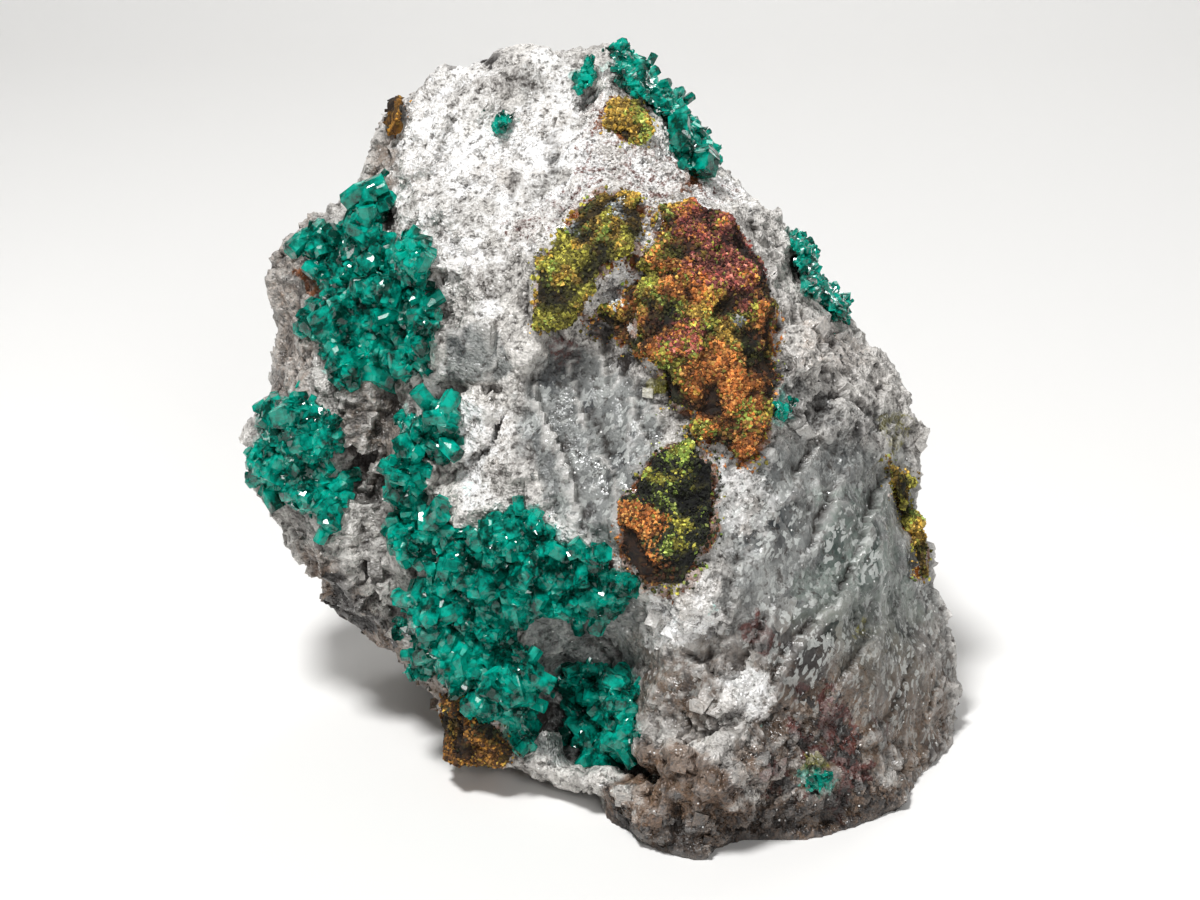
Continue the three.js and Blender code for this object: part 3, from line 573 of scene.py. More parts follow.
    # grit too fine for the mesh: tilted facets, tilted cleavage planes, worn specks
    rough = add(tree, "Math", {0: carried["fleck"], 1: -0.8, 2: 1.0}, operation="MULTIPLY_ADD")
    facet_share = add(tree, "Math", {0: rough, 1: facet_strength}, operation="MULTIPLY")
    facets = add(tree, "Bump", {"Strength": facet_share, "Distance": 1.0,
                                "Height": tilted_cells(tree, grains, place)})
    plane_share = add(tree, "Math", {0: carried["fleck"], 1: 0.4}, operation="MULTIPLY")
    planed = add(tree, "Bump", {"Strength": plane_share, "Distance": 1.0, "Normal": facets,
                                "Height": tilted_cells(tree, planes, warped)})
    worn = add(tree, "Bump", {"Strength": rough, "Distance": 0.6 * MM, "Height": specks,
                              "Normal": planed})
    gloss = add(tree, "MapRange", {"Value": carried["tone"], "To Min": 0.62, "To Max": 0.18})
    shader = add(tree, "BsdfPrincipled", {"Base Color": colour, "Normal": worn,
                                          "Roughness": gloss, "IOR": CALCITE_IOR})
    add(tree, "OutputMaterial", {"Surface": shader})
    return material


CALCITE = calcite_material("broken_calcite", facet_strength=0.6)
CALCITE_FACES = calcite_material("cleaved_calcite", facet_strength=0.15)
print("nodes in the calcite:", len(CALCITE.node_tree.nodes))

# %% [markdown]
# ### Dioptase
#
# Common name: dioptase, a glassy copper silicate of a deep emerald green with a cast of blue.
# Its index is 1.65 to 1.71. Light passes into the crystals, loses its red within a millimetre,
# meets cracks and the white calcite below, and comes back green. So the crystals are see-through
# with absorption, with a share of solid colour for the cracks, and their faces carry small fresh
# fractures that flash.

# %% Dioptase
DIOPTASE_IOR = 1.68


def dioptase_material():
    material, tree = blank_material("glassy_dioptase")
    place = add(tree, "TexCoord").outputs["Object"]
    veils = add(tree, "TexNoise",
                {"Vector": place, "Scale": per_mm(2.0), "Detail": 5, "Roughness": 0.68})
    tone = add(tree, "MapRange", {"Value": veils, "From Min": 0.42, "From Max": 0.60})
    colour = add(tree, "Mix", {0: tone, 6: "#004438", 7: "#00C8AE"}, data_type="RGBA")
    splinters = add(tree, "TexVoronoi", {"Vector": place, "Scale": per_mm(0.8)})
    fracture = add(tree, "Bump", {"Strength": 0.8, "Distance": 1.0,
                                  "Height": tilted_cells(tree, splinters, place)})
    gloss = add(tree, "MapRange", {"Value": veils, "From Min": 0.3, "From Max": 0.7,
                                   "To Min": 0.04, "To Max": 0.24})
    shader = add(tree, "BsdfPrincipled", {
        "Base Color": colour, "Normal": fracture, "Roughness": gloss, "IOR": DIOPTASE_IOR,
        "Transmission Weight": 0.35, "Specular IOR Level": 0.25})
    absorb = add(tree, "VolumeAbsorption", {"Color": "#00D0A8", "Density": 1000.0})
    add(tree, "OutputMaterial", {"Surface": shader, "Volume": absorb})
    return material


DIOPTASE = dioptase_material()

# %% [markdown]
# ### Crusts
#
# Common name: limonite and goethite, earthy iron oxides. They grew as granules a few tenths of
# a millimetre across, dull as earth. Every granule carries its own colour, with the painted shade
# of the crust's pits in it, so the material only reads it and adds a little darker and lighter
# dust.

# %% Earthy crust
def crust_material():
    material, tree = blank_material("earthy_iron_oxide")
    place = add(tree, "TexCoord").outputs["Object"]
    dust = add(tree, "TexNoise",
               {"Vector": place, "Scale": per_mm(0.35), "Detail": 4, "Roughness": 0.7})
    own = add(tree, "Attribute", attribute_name="granule").outputs["Color"]
    shade = add(tree, "MapRange", {"Value": dust, "From Min": 0.3, "From Max": 0.7,
                                   "To Min": 0.5, "To Max": 1.3})
    colour = add(tree, "VectorMath", {0: own, 3: shade}, operation="SCALE")
    grit = add(tree, "Bump", {"Strength": 0.7, "Distance": 0.12 * MM, "Height": dust})
    shader = add(tree, "BsdfPrincipled",
                 {"Base Color": colour, "Normal": grit, "Roughness": 0.85, "IOR": 1.5})
    add(tree, "OutputMaterial", {"Surface": shader})
    return material


CRUST = crust_material()

# %% [markdown]
# ## The block of calcite
#
# The measured block has faces two or three millimetres wide. The real one is broken down to
# tenths of a millimetre. So the block is meshed evenly at 0.46 mm and every point moves along
# its normal by a sum of heights: lumps, broken faces at three sizes, and on the right face the
# long steps of cleavage that run down to the left. Where a crust or crystals lie on the calcite,
# it stays low enough not to break through them.

# %% What lies on the calcite
def cover_tree(names):
    """One search tree over the solids of the named nodes."""
    points, faces, start = [], [], 0
    for name in names:
        mesh = NODES[name].data
        points += [tuple(vertex.co / MM) for vertex in mesh.vertices]
        faces += [[start + corner for corner in face.vertices] for face in mesh.polygons]
        start = len(points)
    return BVHTree.FromPolygons(points, faces)


COVER_REACH = 4.0
COVERS = cover_tree([name for name in NODES if name != "matrix"])
GREENS = cover_tree([name for name in NODES if name.startswith("dioptase")])
CRUSTS = cover_tree([name for name in NODES if "crust" in name])


def cover_distance(points, tree=COVERS):
    """Millimetres from each point to the nearest crystal group or crust, at most COVER_REACH."""
    found = (tree.find_nearest(Vector(point), COVER_REACH)[3] for point in points)
    return np.array([COVER_REACH if distance is None else distance for distance in found])


def fringe(node, width):
    """1 on the block just outside a node, falling to 0 at width millimetres, ragged."""
    low, high = (np.array(corner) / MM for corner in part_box(node))
    close = np.all((block_points > low - width) & (block_points < high + width), axis=1)
    tree, gaps = cover_tree([node]), []
    for point in block_points[close]:
        spot, normal, _, distance = tree.find_nearest(Vector(point))
        gaps.append(distance if (Vector(point) - spot).dot(normal) > 0 else -distance)
    gaps = np.array(gaps)
    ragged = 0.35 * width * soft_noise(block_points[close], 1.3, 77)
    share = np.zeros(len(block_points))
    share[close] = smoothstep(gaps + ragged, width, 0.1 * width) * (gaps > -0.1)
    return share * smoothstep(block_points[:, 2], 0.6, 2)


# %% A rhomb of calcite
def rhomb_template():
    """A leaning box of twelve triangles, one millimetre to an edge."""
    corners = np.array(list(np.ndindex(2, 2, 2))) - 0.5
    lean = np.array([[1, 0.26, 0.2], [0, 1, 0.22], [0, 0, 1]])
    squares = np.array([[0, 1, 3, 2], [4, 6, 7, 5], [0, 4, 5, 1], [2, 3, 7, 6], [0, 2, 6, 4],
                        [1, 5, 7, 3]])
    return corners @ lean.T, np.concatenate([squares[:, [0, 1, 2]], squares[:, [0, 2, 3]]])


RHOMB = rhomb_template()

# %% Rhombs that share a direction
REGION = 11.0  # millimetres across which the calcite is one crystal


def shared_frames(low, high, jitter):
    """Frames that agree within a region of the stone, edges low to high millimetres long."""
    def frames_at(places, rng):
        _, randoms = cell_noise(places, REGION, 71)
        quaternion = np.column_stack([randoms, hashed_row(randoms)]) - 0.5
        quaternion /= np.linalg.norm(quaternion, axis=1, keepdims=True)
        turns = turned(quaternion + jitter * rng.normal(size=quaternion.shape))
        size = low * (high / low) ** rng.random(len(places)) ** 1.6
        stretch = rng.uniform(0.7, 1.4, (len(places), 3)) * size[:, None]
        return turns * stretch[:, None, :]
    return frames_at


# %% Rhombs within the block
def block_with_rhombs(count, low, high, seed):
    """The measured block and the rhombs sunk into it, as overlapping shells."""
    points, triangles = node_shape("matrix")
    rng = np.random.default_rng(seed)
    places, facing, _ = surface_seats(NODES["matrix"].data, count, np.ones(len(points)), rng)
    seen = Seen(places)
    quiet = largest(*seen.patches([(1, SMOOTH_CAP), (1, POCKET), (1, GREY_BLOCK),
                                   (0.8, RIGHT_FACE), (0.7, SUGARY_CAP), (0.7, GREY_SLAB)]))
    frames = shared_frames(low, high, 0.05)(places, rng)
    frames *= (0.55 + 0.45 * np.abs(facing @ TOWARDS))[:, None, None]
    size = np.linalg.norm(frames, axis=1).max(axis=1)
    clear = cover_distance(places) > 0.3 + 0.45 * size
    kept = clear & (places[:, 2] > 0.8 * size) & (rng.random(count) > quiet)
    places = places - facing * (size * rng.uniform(0.40, 0.56, count))[:, None]
    rhombs = scattered(RHOMB, places[kept], frames[kept])
    print("rhombs grown into the block:", kept.sum())
    return (np.concatenate([points, rhombs[0]]),
            np.concatenate([triangles, rhombs[1] + len(points)]))


# %% Cleavage steps
def cleavage_steps(seen, direction, period, height, seed):
    """Long parallel steps, as broken calcite shows where its cleavage meets the surface: each
    rises slowly and falls back at once. direction is the angle of the way that they climb."""
    angle = math.radians(direction)
    along = seen.right * math.cos(angle) + seen.up * math.sin(angle)
    wander = 2.2 * soft_noise(seen.points, 9, seed) + 0.4 * soft_noise(seen.points, 2.4, seed + 1)
    phase = (along + wander) / period
    step = np.floor(phase)
    row = np.stack([step, 7 * step, 0 * step], axis=1).astype(np.int64)
    return height * (phase - step - 0.5) * (0.3 + 1.1 * hashed(row, seed))


def drawn_noise(seen, direction, width, length, seed):
    """Soft noise drawn out along a line of the eye's view, for streaks and shallow flutes."""
    angle = math.radians(direction)
    along = seen.right * math.cos(angle) + seen.up * math.sin(angle)
    beside = seen.up * math.cos(angle) - seen.right * math.sin(angle)
    return soft_noise(np.stack([along / length, beside / width, seen.out / width], axis=1), 1,
                      seed)


# %% How far each point of the block moves
COVER_ROOM = 0.25  # what the calcite may rise by, in millimetres, right below a crust
BASE_FADE = 1.2  # below this height it moves less and less, so the block rests as measured


def calcite_heights(seen, cover):
    """Millimetres that each point moves along its normal."""
    points = seen.points
    right_face = seen.patch(RIGHT_FACE, 2, 1)
    slab = seen.patch(GREY_SLAB, 1.5, 1)
    left = seen.patch(LEFT_SIDE, 2, 1)
    smooth = largest(seen.patch(SMOOTH_CAP, 1.2, 0.6), 0.8 * seen.patch(POCKET, 1.2, 0.6),
                     seen.patch(GREY_BLOCK, 0.8, 0.3))
    sugar = largest(seen.patch(SUGARY_CAP, 1.5, 1), seen.patch(POWDER_BAND, 1, 1),
                    seen.patch(WHITE_RIM, 1, 1))
    plain = 1 - largest(smooth, 0.85 * right_face, 0.75 * slab, 0.25 * left, 0.45 * sugar)
    height = 0.35 * soft_noise(points, 5, 3) + 0.12 * soft_noise(points, 1.6, 4)
    height += broken_faces(points, 5.5, 0.14, 0.40, 11) * (0.3 + 0.7 * plain)
    height += broken_faces(points, 2.2, 0.26, 0.18, 12) * (0.15 + 0.85 * plain)
    height += broken_faces(points, 1.0, 0.30, 0.06, 13) * (0.15 + 0.85 * plain)
    height += left * (broken_faces(points, 4.0, 0.22, 0.5, 18) + 0.25 * soft_noise(points, 4, 16))
    height += sugar * (0.55 * soft_noise(points, 3.2, 14) + 0.12 * soft_noise(points, 1.1, 15))
    uneven = 0.2 + 0.8 * smoothstep(soft_noise(points, 8, 19), -0.5, 0.4)
    height += right_face * (cleavage_steps(seen, 148, 4.6, 1.0, 21) * uneven
                            + 0.35 * drawn_noise(seen, 58, 2.2, 9, 26)
                            + 0.07 * drawn_noise(seen, 58, 0.8, 4, 27))
    height += slab * (cleavage_steps(seen, 15, 4.2, 0.6, 23)
                      + 0.3 * drawn_noise(seen, 105, 1.6, 6, 28)
                      + 0.06 * drawn_noise(seen, 75, 0.7, 3, 29))
    height += smooth * cleavage_steps(seen, 70, 3.8, 0.25, 24)
    height = np.minimum(height, COVER_ROOM + 0.8 * cover)
    return height * smoothstep(points[:, 2], 0, BASE_FADE)


# %% Ridges and hollows
def averaged(mesh, values, rounds):
    """Values per point, each replaced by its neighbours' mean, several times over."""
    edges = np.empty(len(mesh.edges) * 2, dtype=np.int32)
    mesh.edges.foreach_get("vertices", edges)
    first, second = edges.reshape(-1, 2).T
    size = len(values)
    neighbours = np.bincount(first, minlength=size) + np.bincount(second, minlength=size)
    for _ in range(rounds):
        columns = [np.bincount(first, column[second], size)
                   + np.bincount(second, column[first], size) for column in values.T]
        values = np.stack(columns, axis=1) / neighbours[:, None]
    return values


def standing_out(mesh, rounds):
    """How far each point stands out of its surroundings: ridges positive, hollows negative."""
    points, normals = points_of(mesh)
    return np.einsum("ij,ij->i", points - averaged(mesh, points, rounds), normals)


# %% The block's fine shape
VOXEL = 0.46
CRISP_ANGLE = 26  # degrees between two faces from which their edge is left crisp
shells = block_with_rhombs(count=1000, low=2.0, high=5.5, seed=300)
block = remeshed("calcite_block", shells, VOXEL, rounds=1)
block_points, block_normals = points_of(block.data)
block_cover = cover_distance(block_points)
block_points += block_normals * calcite_heights(Seen(block_points), block_cover)[:, None]
block_points[:, 2] = np.maximum(block_points[:, 2], 0)
set_points(block.data, block_points)
block.data.shade_smooth()
block.data.set_sharp_from_angle(angle=math.radians(CRISP_ANGLE))
block_seen = Seen(block_points)
print("calcite block:", len(block_points), "points,", len(block.data.polygons), "faces")

# %% [markdown]
# ### The block's stains
#
# Iron oxide washed into the hollows and spread below the crusts, black manganese oxide sits in
# spots and veins, and a white powder of crushed calcite lies on the band above the crust. Brown
# soil lies on the foot, and painted shade darkens the undersides, the recess on the left, the
# lower parts and, as a painted shadow, the ledge under the left side. Each is a mask in the eye's
# view. The sides and the back, which the eye doesn't see, carry the same stains by noise alone.
# Edges that stand out are paled, partly as bruised calcite and partly as painted highlight, and
# painted shade darkens the hollows.

# %% Where each stain lies
# Patches: how strong, the outline, and, where they aren't the usual ones, soft and fray.
STAIN_PATCHES = {
    # The first stain is brown soil on the foot and painted shade on the underside, the recess on
    # the left and the left side.
    "soil_and_shade": [(1, BROWN_FOOT, 2, 2), (0.75, TAN_FOOT, 1, 1), (0.85, MAROON_FOOT, 2, 1.5),
             (0.7, UNDERSIDE, 1.5, 1.5), (0.6, LEFT_RECESS, 1, 1), (0.28, LEFT_SIDE, 2, 2),
             (0.7, CHIP_FOOT, 0.8, 0.6)],
    "powder": [(1, POWDER_BAND), (1, POWDER_TONGUE, 0.6, 1.2), (1, WHITE_CLUMP),
               (1, WHITE_SPARKLE, 1, 1.5), (0.7, WHITE_RIM, 1, 1), (0.8, CREAM_PATCH, 1.5, 1.5),
               (0.6, SUGARY_SPUR, 1.5, 1.5)],
    "grey": [(0.3, SMOOTH_CAP), (1, GREY_SLAB, 1, 1), (0.9, GREY_BLOCK, 0.3, 0.2),
             (1, POCKET, 1, 1), (0.8, RIGHT_FACE, 1.5, 1.5), (0.65, LOWER_GREY, 2, 1.5),
             (0.7, LEFT_RECESS), (0.6, SHOULDER), (0.35, LEFT_SIDE, 2, 2)],
    "tan": [(1, TAN_FOOT, 1, 1), (0.65, UNDERSIDE, 1.5, 1), (0.4, LEFT_COLUMN),
            (1, BROWN_FOOT, 1.5, 1.5), (0.6, MAROON_FOOT, 1.5, 1), (0.3, PALE_SHOULDER)],
    "green": [(0.6, GREEN_TINT, 2, 3)],
    "rust": [(0.35, BROWN_FOOT, 1.5, 2), (0.4, POWDER_BAND, 1, 1), (0.3, TAN_FOOT, 1, 1)],
    "maroon": [(0.42, POWDER_BAND, 1, 1)],
    # On the ledge under the left side, the dark stain is painted shadow.
    "dark": [(0.7, SHADOWED_LEDGE, 1, 1.5), (0.42, POWDER_TONGUE), (0.3, POWDER_BAND),
             (0.45, SHOULDER, 1, 2), (0.5, BROWN_FOOT, 1.5, 2)],
}
# Spots: how strong, right, up and radius in millimetres, then soft and fray.
STAIN_SPOTS = {
    "rust": [(1, -28.8, 17, 1.6), (1, 9, 26.8, 1.3)],
    "maroon": [(0.6, 16, -18.6, 1.8, 0.8, 1.6), (0.5, -3.5, 9, 2.6, 1.5, 2),
               (0.8, 0.5, -12.3, 1)],
    "olive": [(1, 5.8, 6, 0.9), (0.6, 21.5, -31.2, 1.3), (0.5, 29.5, 2, 2), (1, 19.5, 3.2, 0.5),
              (0.5, 26, -18, 1.2)],
    "teal": [(0.6, -9.4, 32.4, 1.3), (0.5, -2, 37.4, 1.6), (0.5, 11.2, -15.6, 1),
             (0.45, 8, -16.4, 0.8), (1, 14, -27.3, 0.4), (1, 16.3, -27.5, 0.4),
             (0.45, 22.5, 16, 2), (0.4, -17.8, 21, 1), (0.45, -13, -3.4, 0.8),
             (0.5, -9.5, -6.8, 1.2)],
    "dark": [(1, -21.1, 18.2, 0.8), (1, -21, 23.4, 0.5), (1, -21, 22.4, 0.4),
             (1, -11.6, 39.2, 0.9), (1, -10.6, 39.4, 0.5), (1, -14.8, 38.7, 0.4),
             (1, 2.6, 9, 0.8), (1, 15.6, -19.6, 0.5), (0.6, 1.5, 36.6, 1.2),
             (1, 6.8, 34.2, 0.5)],
}
# Out of the eye's sight: how strong, then size in millimetres, seed and range of the noise.
STAINS_BEHIND = {
    "soil_and_shade": (0.4, 8, 59, 0.0, 0.6), "powder": (1, 9, 31, 0.35, 0.8),
    "grey": (0.7, 14, 41, -0.1, 0.5), "tan": (0.5, 11, 43, 0.2, 0.8),
    "rust": (0.55, 7, 47, 0.25, 0.7), "dark": (0.5, 5, 53, 0.55, 0.9),
}

# %% Masks
def noise_patches(points, size, seed, low, high):
    """Patches about size millimetres across, from 0 to 1."""
    drift = soft_noise(points, size, seed) + 0.5 * soft_noise(points, size / 3, seed + 1)
    return smoothstep(drift, low, high)


def uneven_stains(seen):
    """What no single patch or spot says: stains that fade, come in clouds, or ring the pieces
    that lie on the calcite."""
    points = seen.points
    ragged = 0.9 * soft_noise(points, 1.6, 57) + 0.4 * soft_noise(points, 0.6, 58)
    green_halo = smoothstep(cover_distance(points, GREENS) + ragged, 1.0, -0.3)
    rust_halo = smoothstep(cover_distance(points, CRUSTS) + ragged, 1.8, -0.2)
    clouds = 0.45 + 0.55 * smoothstep(
        soft_noise(points, 4.5, 33) + 0.5 * soft_noise(points, 1.6, 34), -0.35, 0.45)
    return {
        # painted shade: the lower grey parts get darker towards the bottom
        "soil_and_shade": [0.85 * seen.patch(LOWER_GREY, 3, 2) * smoothstep(seen.up, -8, -28)],
        "powder": [0.95 * clouds * seen.patch(SUGARY_CAP, 2, 2),
                   0.75 * clouds * seen.patch(SMOOTH_CAP, 2, 1)],
        "rust": [0.75 * rust_halo],
        "maroon": [0.7 * seen.patch(MAROON_FOOT, 2, 2.5)
                   * noise_patches(points, 1.5, 35, -0.5, 0.1)],
        "teal": [0.6 * green_halo],
        "dark": [0.6 * seen.patch(MAROON_FOOT, 1, 2) * noise_patches(points, 1.2, 38, 0.0, 0.4)],
    }


# %% All masks of the block
def block_masks(mesh, seen, cover):
    """Every mask that the calcite's material reads, a value from 0 to 1 per point."""
    points = seen.points
    behind = 1 - seen.front
    uneven, masks = uneven_stains(seen), {}
    for stain in STAINS:
        parts = seen.patches(STAIN_PATCHES.get(stain, [])) + uneven.get(stain, [])
        parts += seen.spots(STAIN_SPOTS.get(stain, []))
        if stain in STAINS_BEHIND:
            share, *rest = STAINS_BEHIND[stain]
            parts.append(share * behind * noise_patches(points, *rest))
        masks[stain] = largest(*parts)
    fine, broad = standing_out(mesh, 4), standing_out(mesh, 30)
    near_cover = smoothstep(cover, 1.6, 0.3)
    # the edge mask pales what stands out: partly bruised calcite, partly painted highlight on
    # ridges
    masks["edge"] = (0.5 * smoothstep(fine, 0.05, 0.22) * (1 - 0.75 * masks["tan"])
                     * (1 - 0.6 * seen.patch(RIGHT_FACE, 2, 1)))
    # painted shade: hollows, fine and broad, are darkened, less so next to crusts and crystals and
    # on the sugary cap
    shade_in_hollows = (0.6 * smoothstep(-fine, 0.06, 0.3)
            + 0.85 * smoothstep(-broad, 0.2, 0.9) * (1 - 0.5 * near_cover))
    masks["hollow"] = np.clip(shade_in_hollows, 0, 0.9) * (1 - 0.6 * seen.patch(SUGARY_CAP, 1.5, 1))
    masks["tone"] = hashed_row(cell_noise(points, 2.2, 12)[1])
    cleaved = largest(seen.patch(RIGHT_FACE, 2, 1), 0.8 * seen.patch(GREY_SLAB, 1, 1),
                      0.6 * seen.patch(LOWER_GREY, 2, 1), 0.35 * behind)
    masks["fleck"] = (cleaved * (1 - 0.8 * masks["maroon"])
                      * (0.55 + 0.45 * noise_patches(points, 4.5, 37, -0.3, 0.3)))
    return masks


MASKS = block_masks(block.data, block_seen, block_cover)
for mask, values in MASKS.items():
    set_values(block.data, mask, values)
print("mean of each mask:", {mask: round(float(values.mean()), 2)
                             for mask, values in MASKS.items()})
dress(block, CALCITE, "matrix")

# %% [markdown]
# ### Small rhombs and sugar
#
# Calcite breaks into rhombs, whatever the size of the piece, and all the rhombs of one crystal
# lie the same way. So leaning boxes are sunk into the block: rhombs of half a millimetre to
# one and a half that share one direction within each region of a centimetre, and thousands of
# sugar grains on the cap, the white band and the foot. Each kind is one joined mesh. Their flat
# faces flash together, which no bump on a round surface does.

# %% Planting them
def plant_rhombs(name, weight, count, frames_at, sink, own_tone, seed):
    """Rhombs over the block where weight is high, as one mesh that takes the block's masks.
    frames_at gives each rhomb's three edges, sink how much of it goes below the surface, and
    own_tone how far its tone may leave the block's."""
    rng = np.random.default_rng(seed)
    clear = weight * smoothstep(block_points[:, 2], 0.6, 2.2)
    places, facing, near = surface_seats(block.data, count, clear, rng)
    frames = frames_at(places, rng)
    height = np.linalg.norm(frames[:, :, 2], axis=1)
    places = places - facing * (sink * height * rng.uniform(0.6, 1.0, count))[:, None]
    thing = mesh_object(name, *scattered(RHOMB, places, frames))
    own = {mask: values[near] for mask, values in MASKS.items()}
    # the rhombs keep part of the block's painted shade in the hollows
    own["hollow"] = 0.6 * own["hollow"]
    own["tone"] = (1 - own_tone) * own["tone"] + own_tone * rng.random(count)
    for mask, values in own.items():
        set_values(thing.data, mask, np.repeat(values, len(RHOMB[0])))
    dress(thing, CALCITE_FACES)
    print(name, count, "rhombs,", len(thing.data.polygons), "faces")


# %% Small rhombs
room = smoothstep(block_cover, 0.6, 2.4)
smooth_parts = largest(*block_seen.patches([(1, SMOOTH_CAP), (1, POCKET), (1, GREY_BLOCK)]))
cleaved = largest(*block_seen.patches([(1, RIGHT_FACE, 1.5, 1), (1, GREY_SLAB, 1, 1)]))
sugary = largest(*block_seen.patches([(1, SUGARY_CAP, 1.5, 1), (1, POWDER_BAND)]))
rhomb_weight = room * (1 - 0.9 * smooth_parts) * (1 - 0.93 * cleaved) * (1 - 0.7 * sugary)
plant_rhombs("calcite_rhombs", rhomb_weight, 2600, shared_frames(0.35, 1.3, 0.06), sink=0.7,
             own_tone=0.4, seed=301)

# %% Sugar grains
def loose_frames(low, high):
    """Frames that point anywhere, edges low to high millimetres long."""
    def frames_at(places, rng):
        turns = turned(rng.normal(size=(len(places), 4)))
        return turns * rng.uniform(low, high, len(places))[:, None, None]
    return frames_at


SUGAR_PATCHES = [(0.14, SUGARY_CAP, 1.5, 2), (1, POWDER_BAND), (1, WHITE_CLUMP),
                 (1.1, WHITE_SPARKLE), (0.25, WHITE_RIM, 1, 1), (0.9, POWDER_TONGUE),
                 (0.4, MAROON_FOOT), (0.25, BROWN_FOOT), (0.6, CREAM_PATCH), (0.5, SUGARY_SPUR)]
edge_room = smoothstep(block_cover, 0.15, 0.6)
sugar_weight = 0.02 + largest(
    *block_seen.patches(SUGAR_PATCHES),
    0.25 * (1 - block_seen.front) * noise_patches(block_points, *STAINS_BEHIND["powder"][1:]))
plant_rhombs("calcite_sugar", edge_room * sugar_weight, 13000, loose_frames(0.16, 0.42),
             sink=0.45, own_tone=0.7, seed=304)

# %% [markdown]
# ## Dioptase
#
# The measured groups hold the large crystals. The real groups are crowded with smaller ones,
# half a millimetre to two across, that grew into each other. Each small crystal is a six-sided
# prism under three rhomb faces, dioptase's own form. They are stood on the group at random and
# joined with it into one solid by a Boolean, so light crosses no hidden wall between them.

# %% One crystal
RHOMB_SLOPE = 1.23  # how far the three rhomb faces fall, in radii of the prism
ROOT = 3.2  # how deep the prism's foot lies below its tip, in radii


def crystal_template():
    """Points and faces of one crystal, its radius 1 and its tip at the origin."""
    angles = np.arange(6) * math.pi / 3
    ring = np.column_stack([np.cos(angles), np.sin(angles)])
    drops = np.where(np.arange(6) % 2 == 0, -RHOMB_SLOPE, -RHOMB_SLOPE / 2)
    top = np.column_stack([ring, drops])
    foot = np.column_stack([ring, np.full(6, -ROOT)])
    points = np.concatenate([[[0, 0, 0]], top, foot])
    rhombs = [[0, 6, 1, 2], [0, 2, 3, 4], [0, 4, 5, 6]]
    sides = [[1 + k, 7 + k, 7 + (k + 1) % 6, 1 + (k + 1) % 6] for k in range(6)]
    return points, rhombs + sides + [[12, 11, 10, 9, 8, 7]]


CRYSTAL = crystal_template()

# %% Large crystals
# Right, up and radius in millimetres, then the way it points: right, up and out.
LARGE_CRYSTALS = {
    "dioptase_far_left": [(-33.0, -2.6, 2.2, (-0.35, -0.25, 0.9)),
                          (-33.2, 2.6, 1.3, (-0.5, 0.5, 0.7))],
    "dioptase_top_ridge": [(10.5, 29.4, 1.5, (0.7, -0.4, 0.6)),
                           (8.4, 30.6, 1.1, (0.2, -0.5, 0.8))],
    "dioptase_centre": [(-15.0, -11.5, 1.1, (-0.6, 0.5, 0.7)),
                        (3.5, -14.0, 1.2, (0.5, -0.4, 0.8))],
    "dioptase_upper_left": [(-21.5, 27.5, 1.0, (-0.2, 0.9, 0.4)),
                            (-26.8, 21.2, 1.2, (-0.6, 0.5, 0.6)),
                            (-23.5, 8.5, 1.3, (-0.2, -0.6, 0.8))],
}

# %% Crystals that grow from a surface
LEAN_TO_THE_EYE = 0.7
LEAN_AT_RANDOM = 0.8


def ragged_outline(points, reach, seed):
    """Sideways moves, across the eye's view, that fray the outline of a piece."""
    sideways = [reach * soft_noise(points, 2.4, seed + k) + 0.4 * reach
                * soft_noise(points, 0.9, seed + k + 2) for k in (40, 50)]
    return sideways[0][:, None] * ACROSS + sideways[1][:, None] * RISE


def young_crystal(place, normal, radius, rng):
    """One crystal, its foot in the group, leaning from normal towards the eye."""
    axis = Vector(normal + LEAN_TO_THE_EYE * TOWARDS
                  + rng.normal(size=3) * LEAN_AT_RANDOM).normalized()
    turn = axis.to_track_quat("Z", "Y") @ Quaternion((0, 0, 1), rng.uniform(0, math.tau))
    seat = Vector(place) + axis * (radius * rng.uniform(0.1, 0.8))
    placing = Matrix.Translation(seat) @ turn.to_matrix().to_4x4() @ Matrix.Scale(radius, 4)
    mesh = bpy.data.meshes.new("crystal")
    mesh.from_pydata([(placing @ Vector(point)) * MM for point in CRYSTAL[0]], [], CRYSTAL[1])
    return bpy.data.objects.new("crystal", mesh)


# %% A crowded group
GROUP_VOXEL = 0.3
RIM_PART = 5  # one more crystal at the group's edge for every so many on it
RIM_SIZE = 0.6


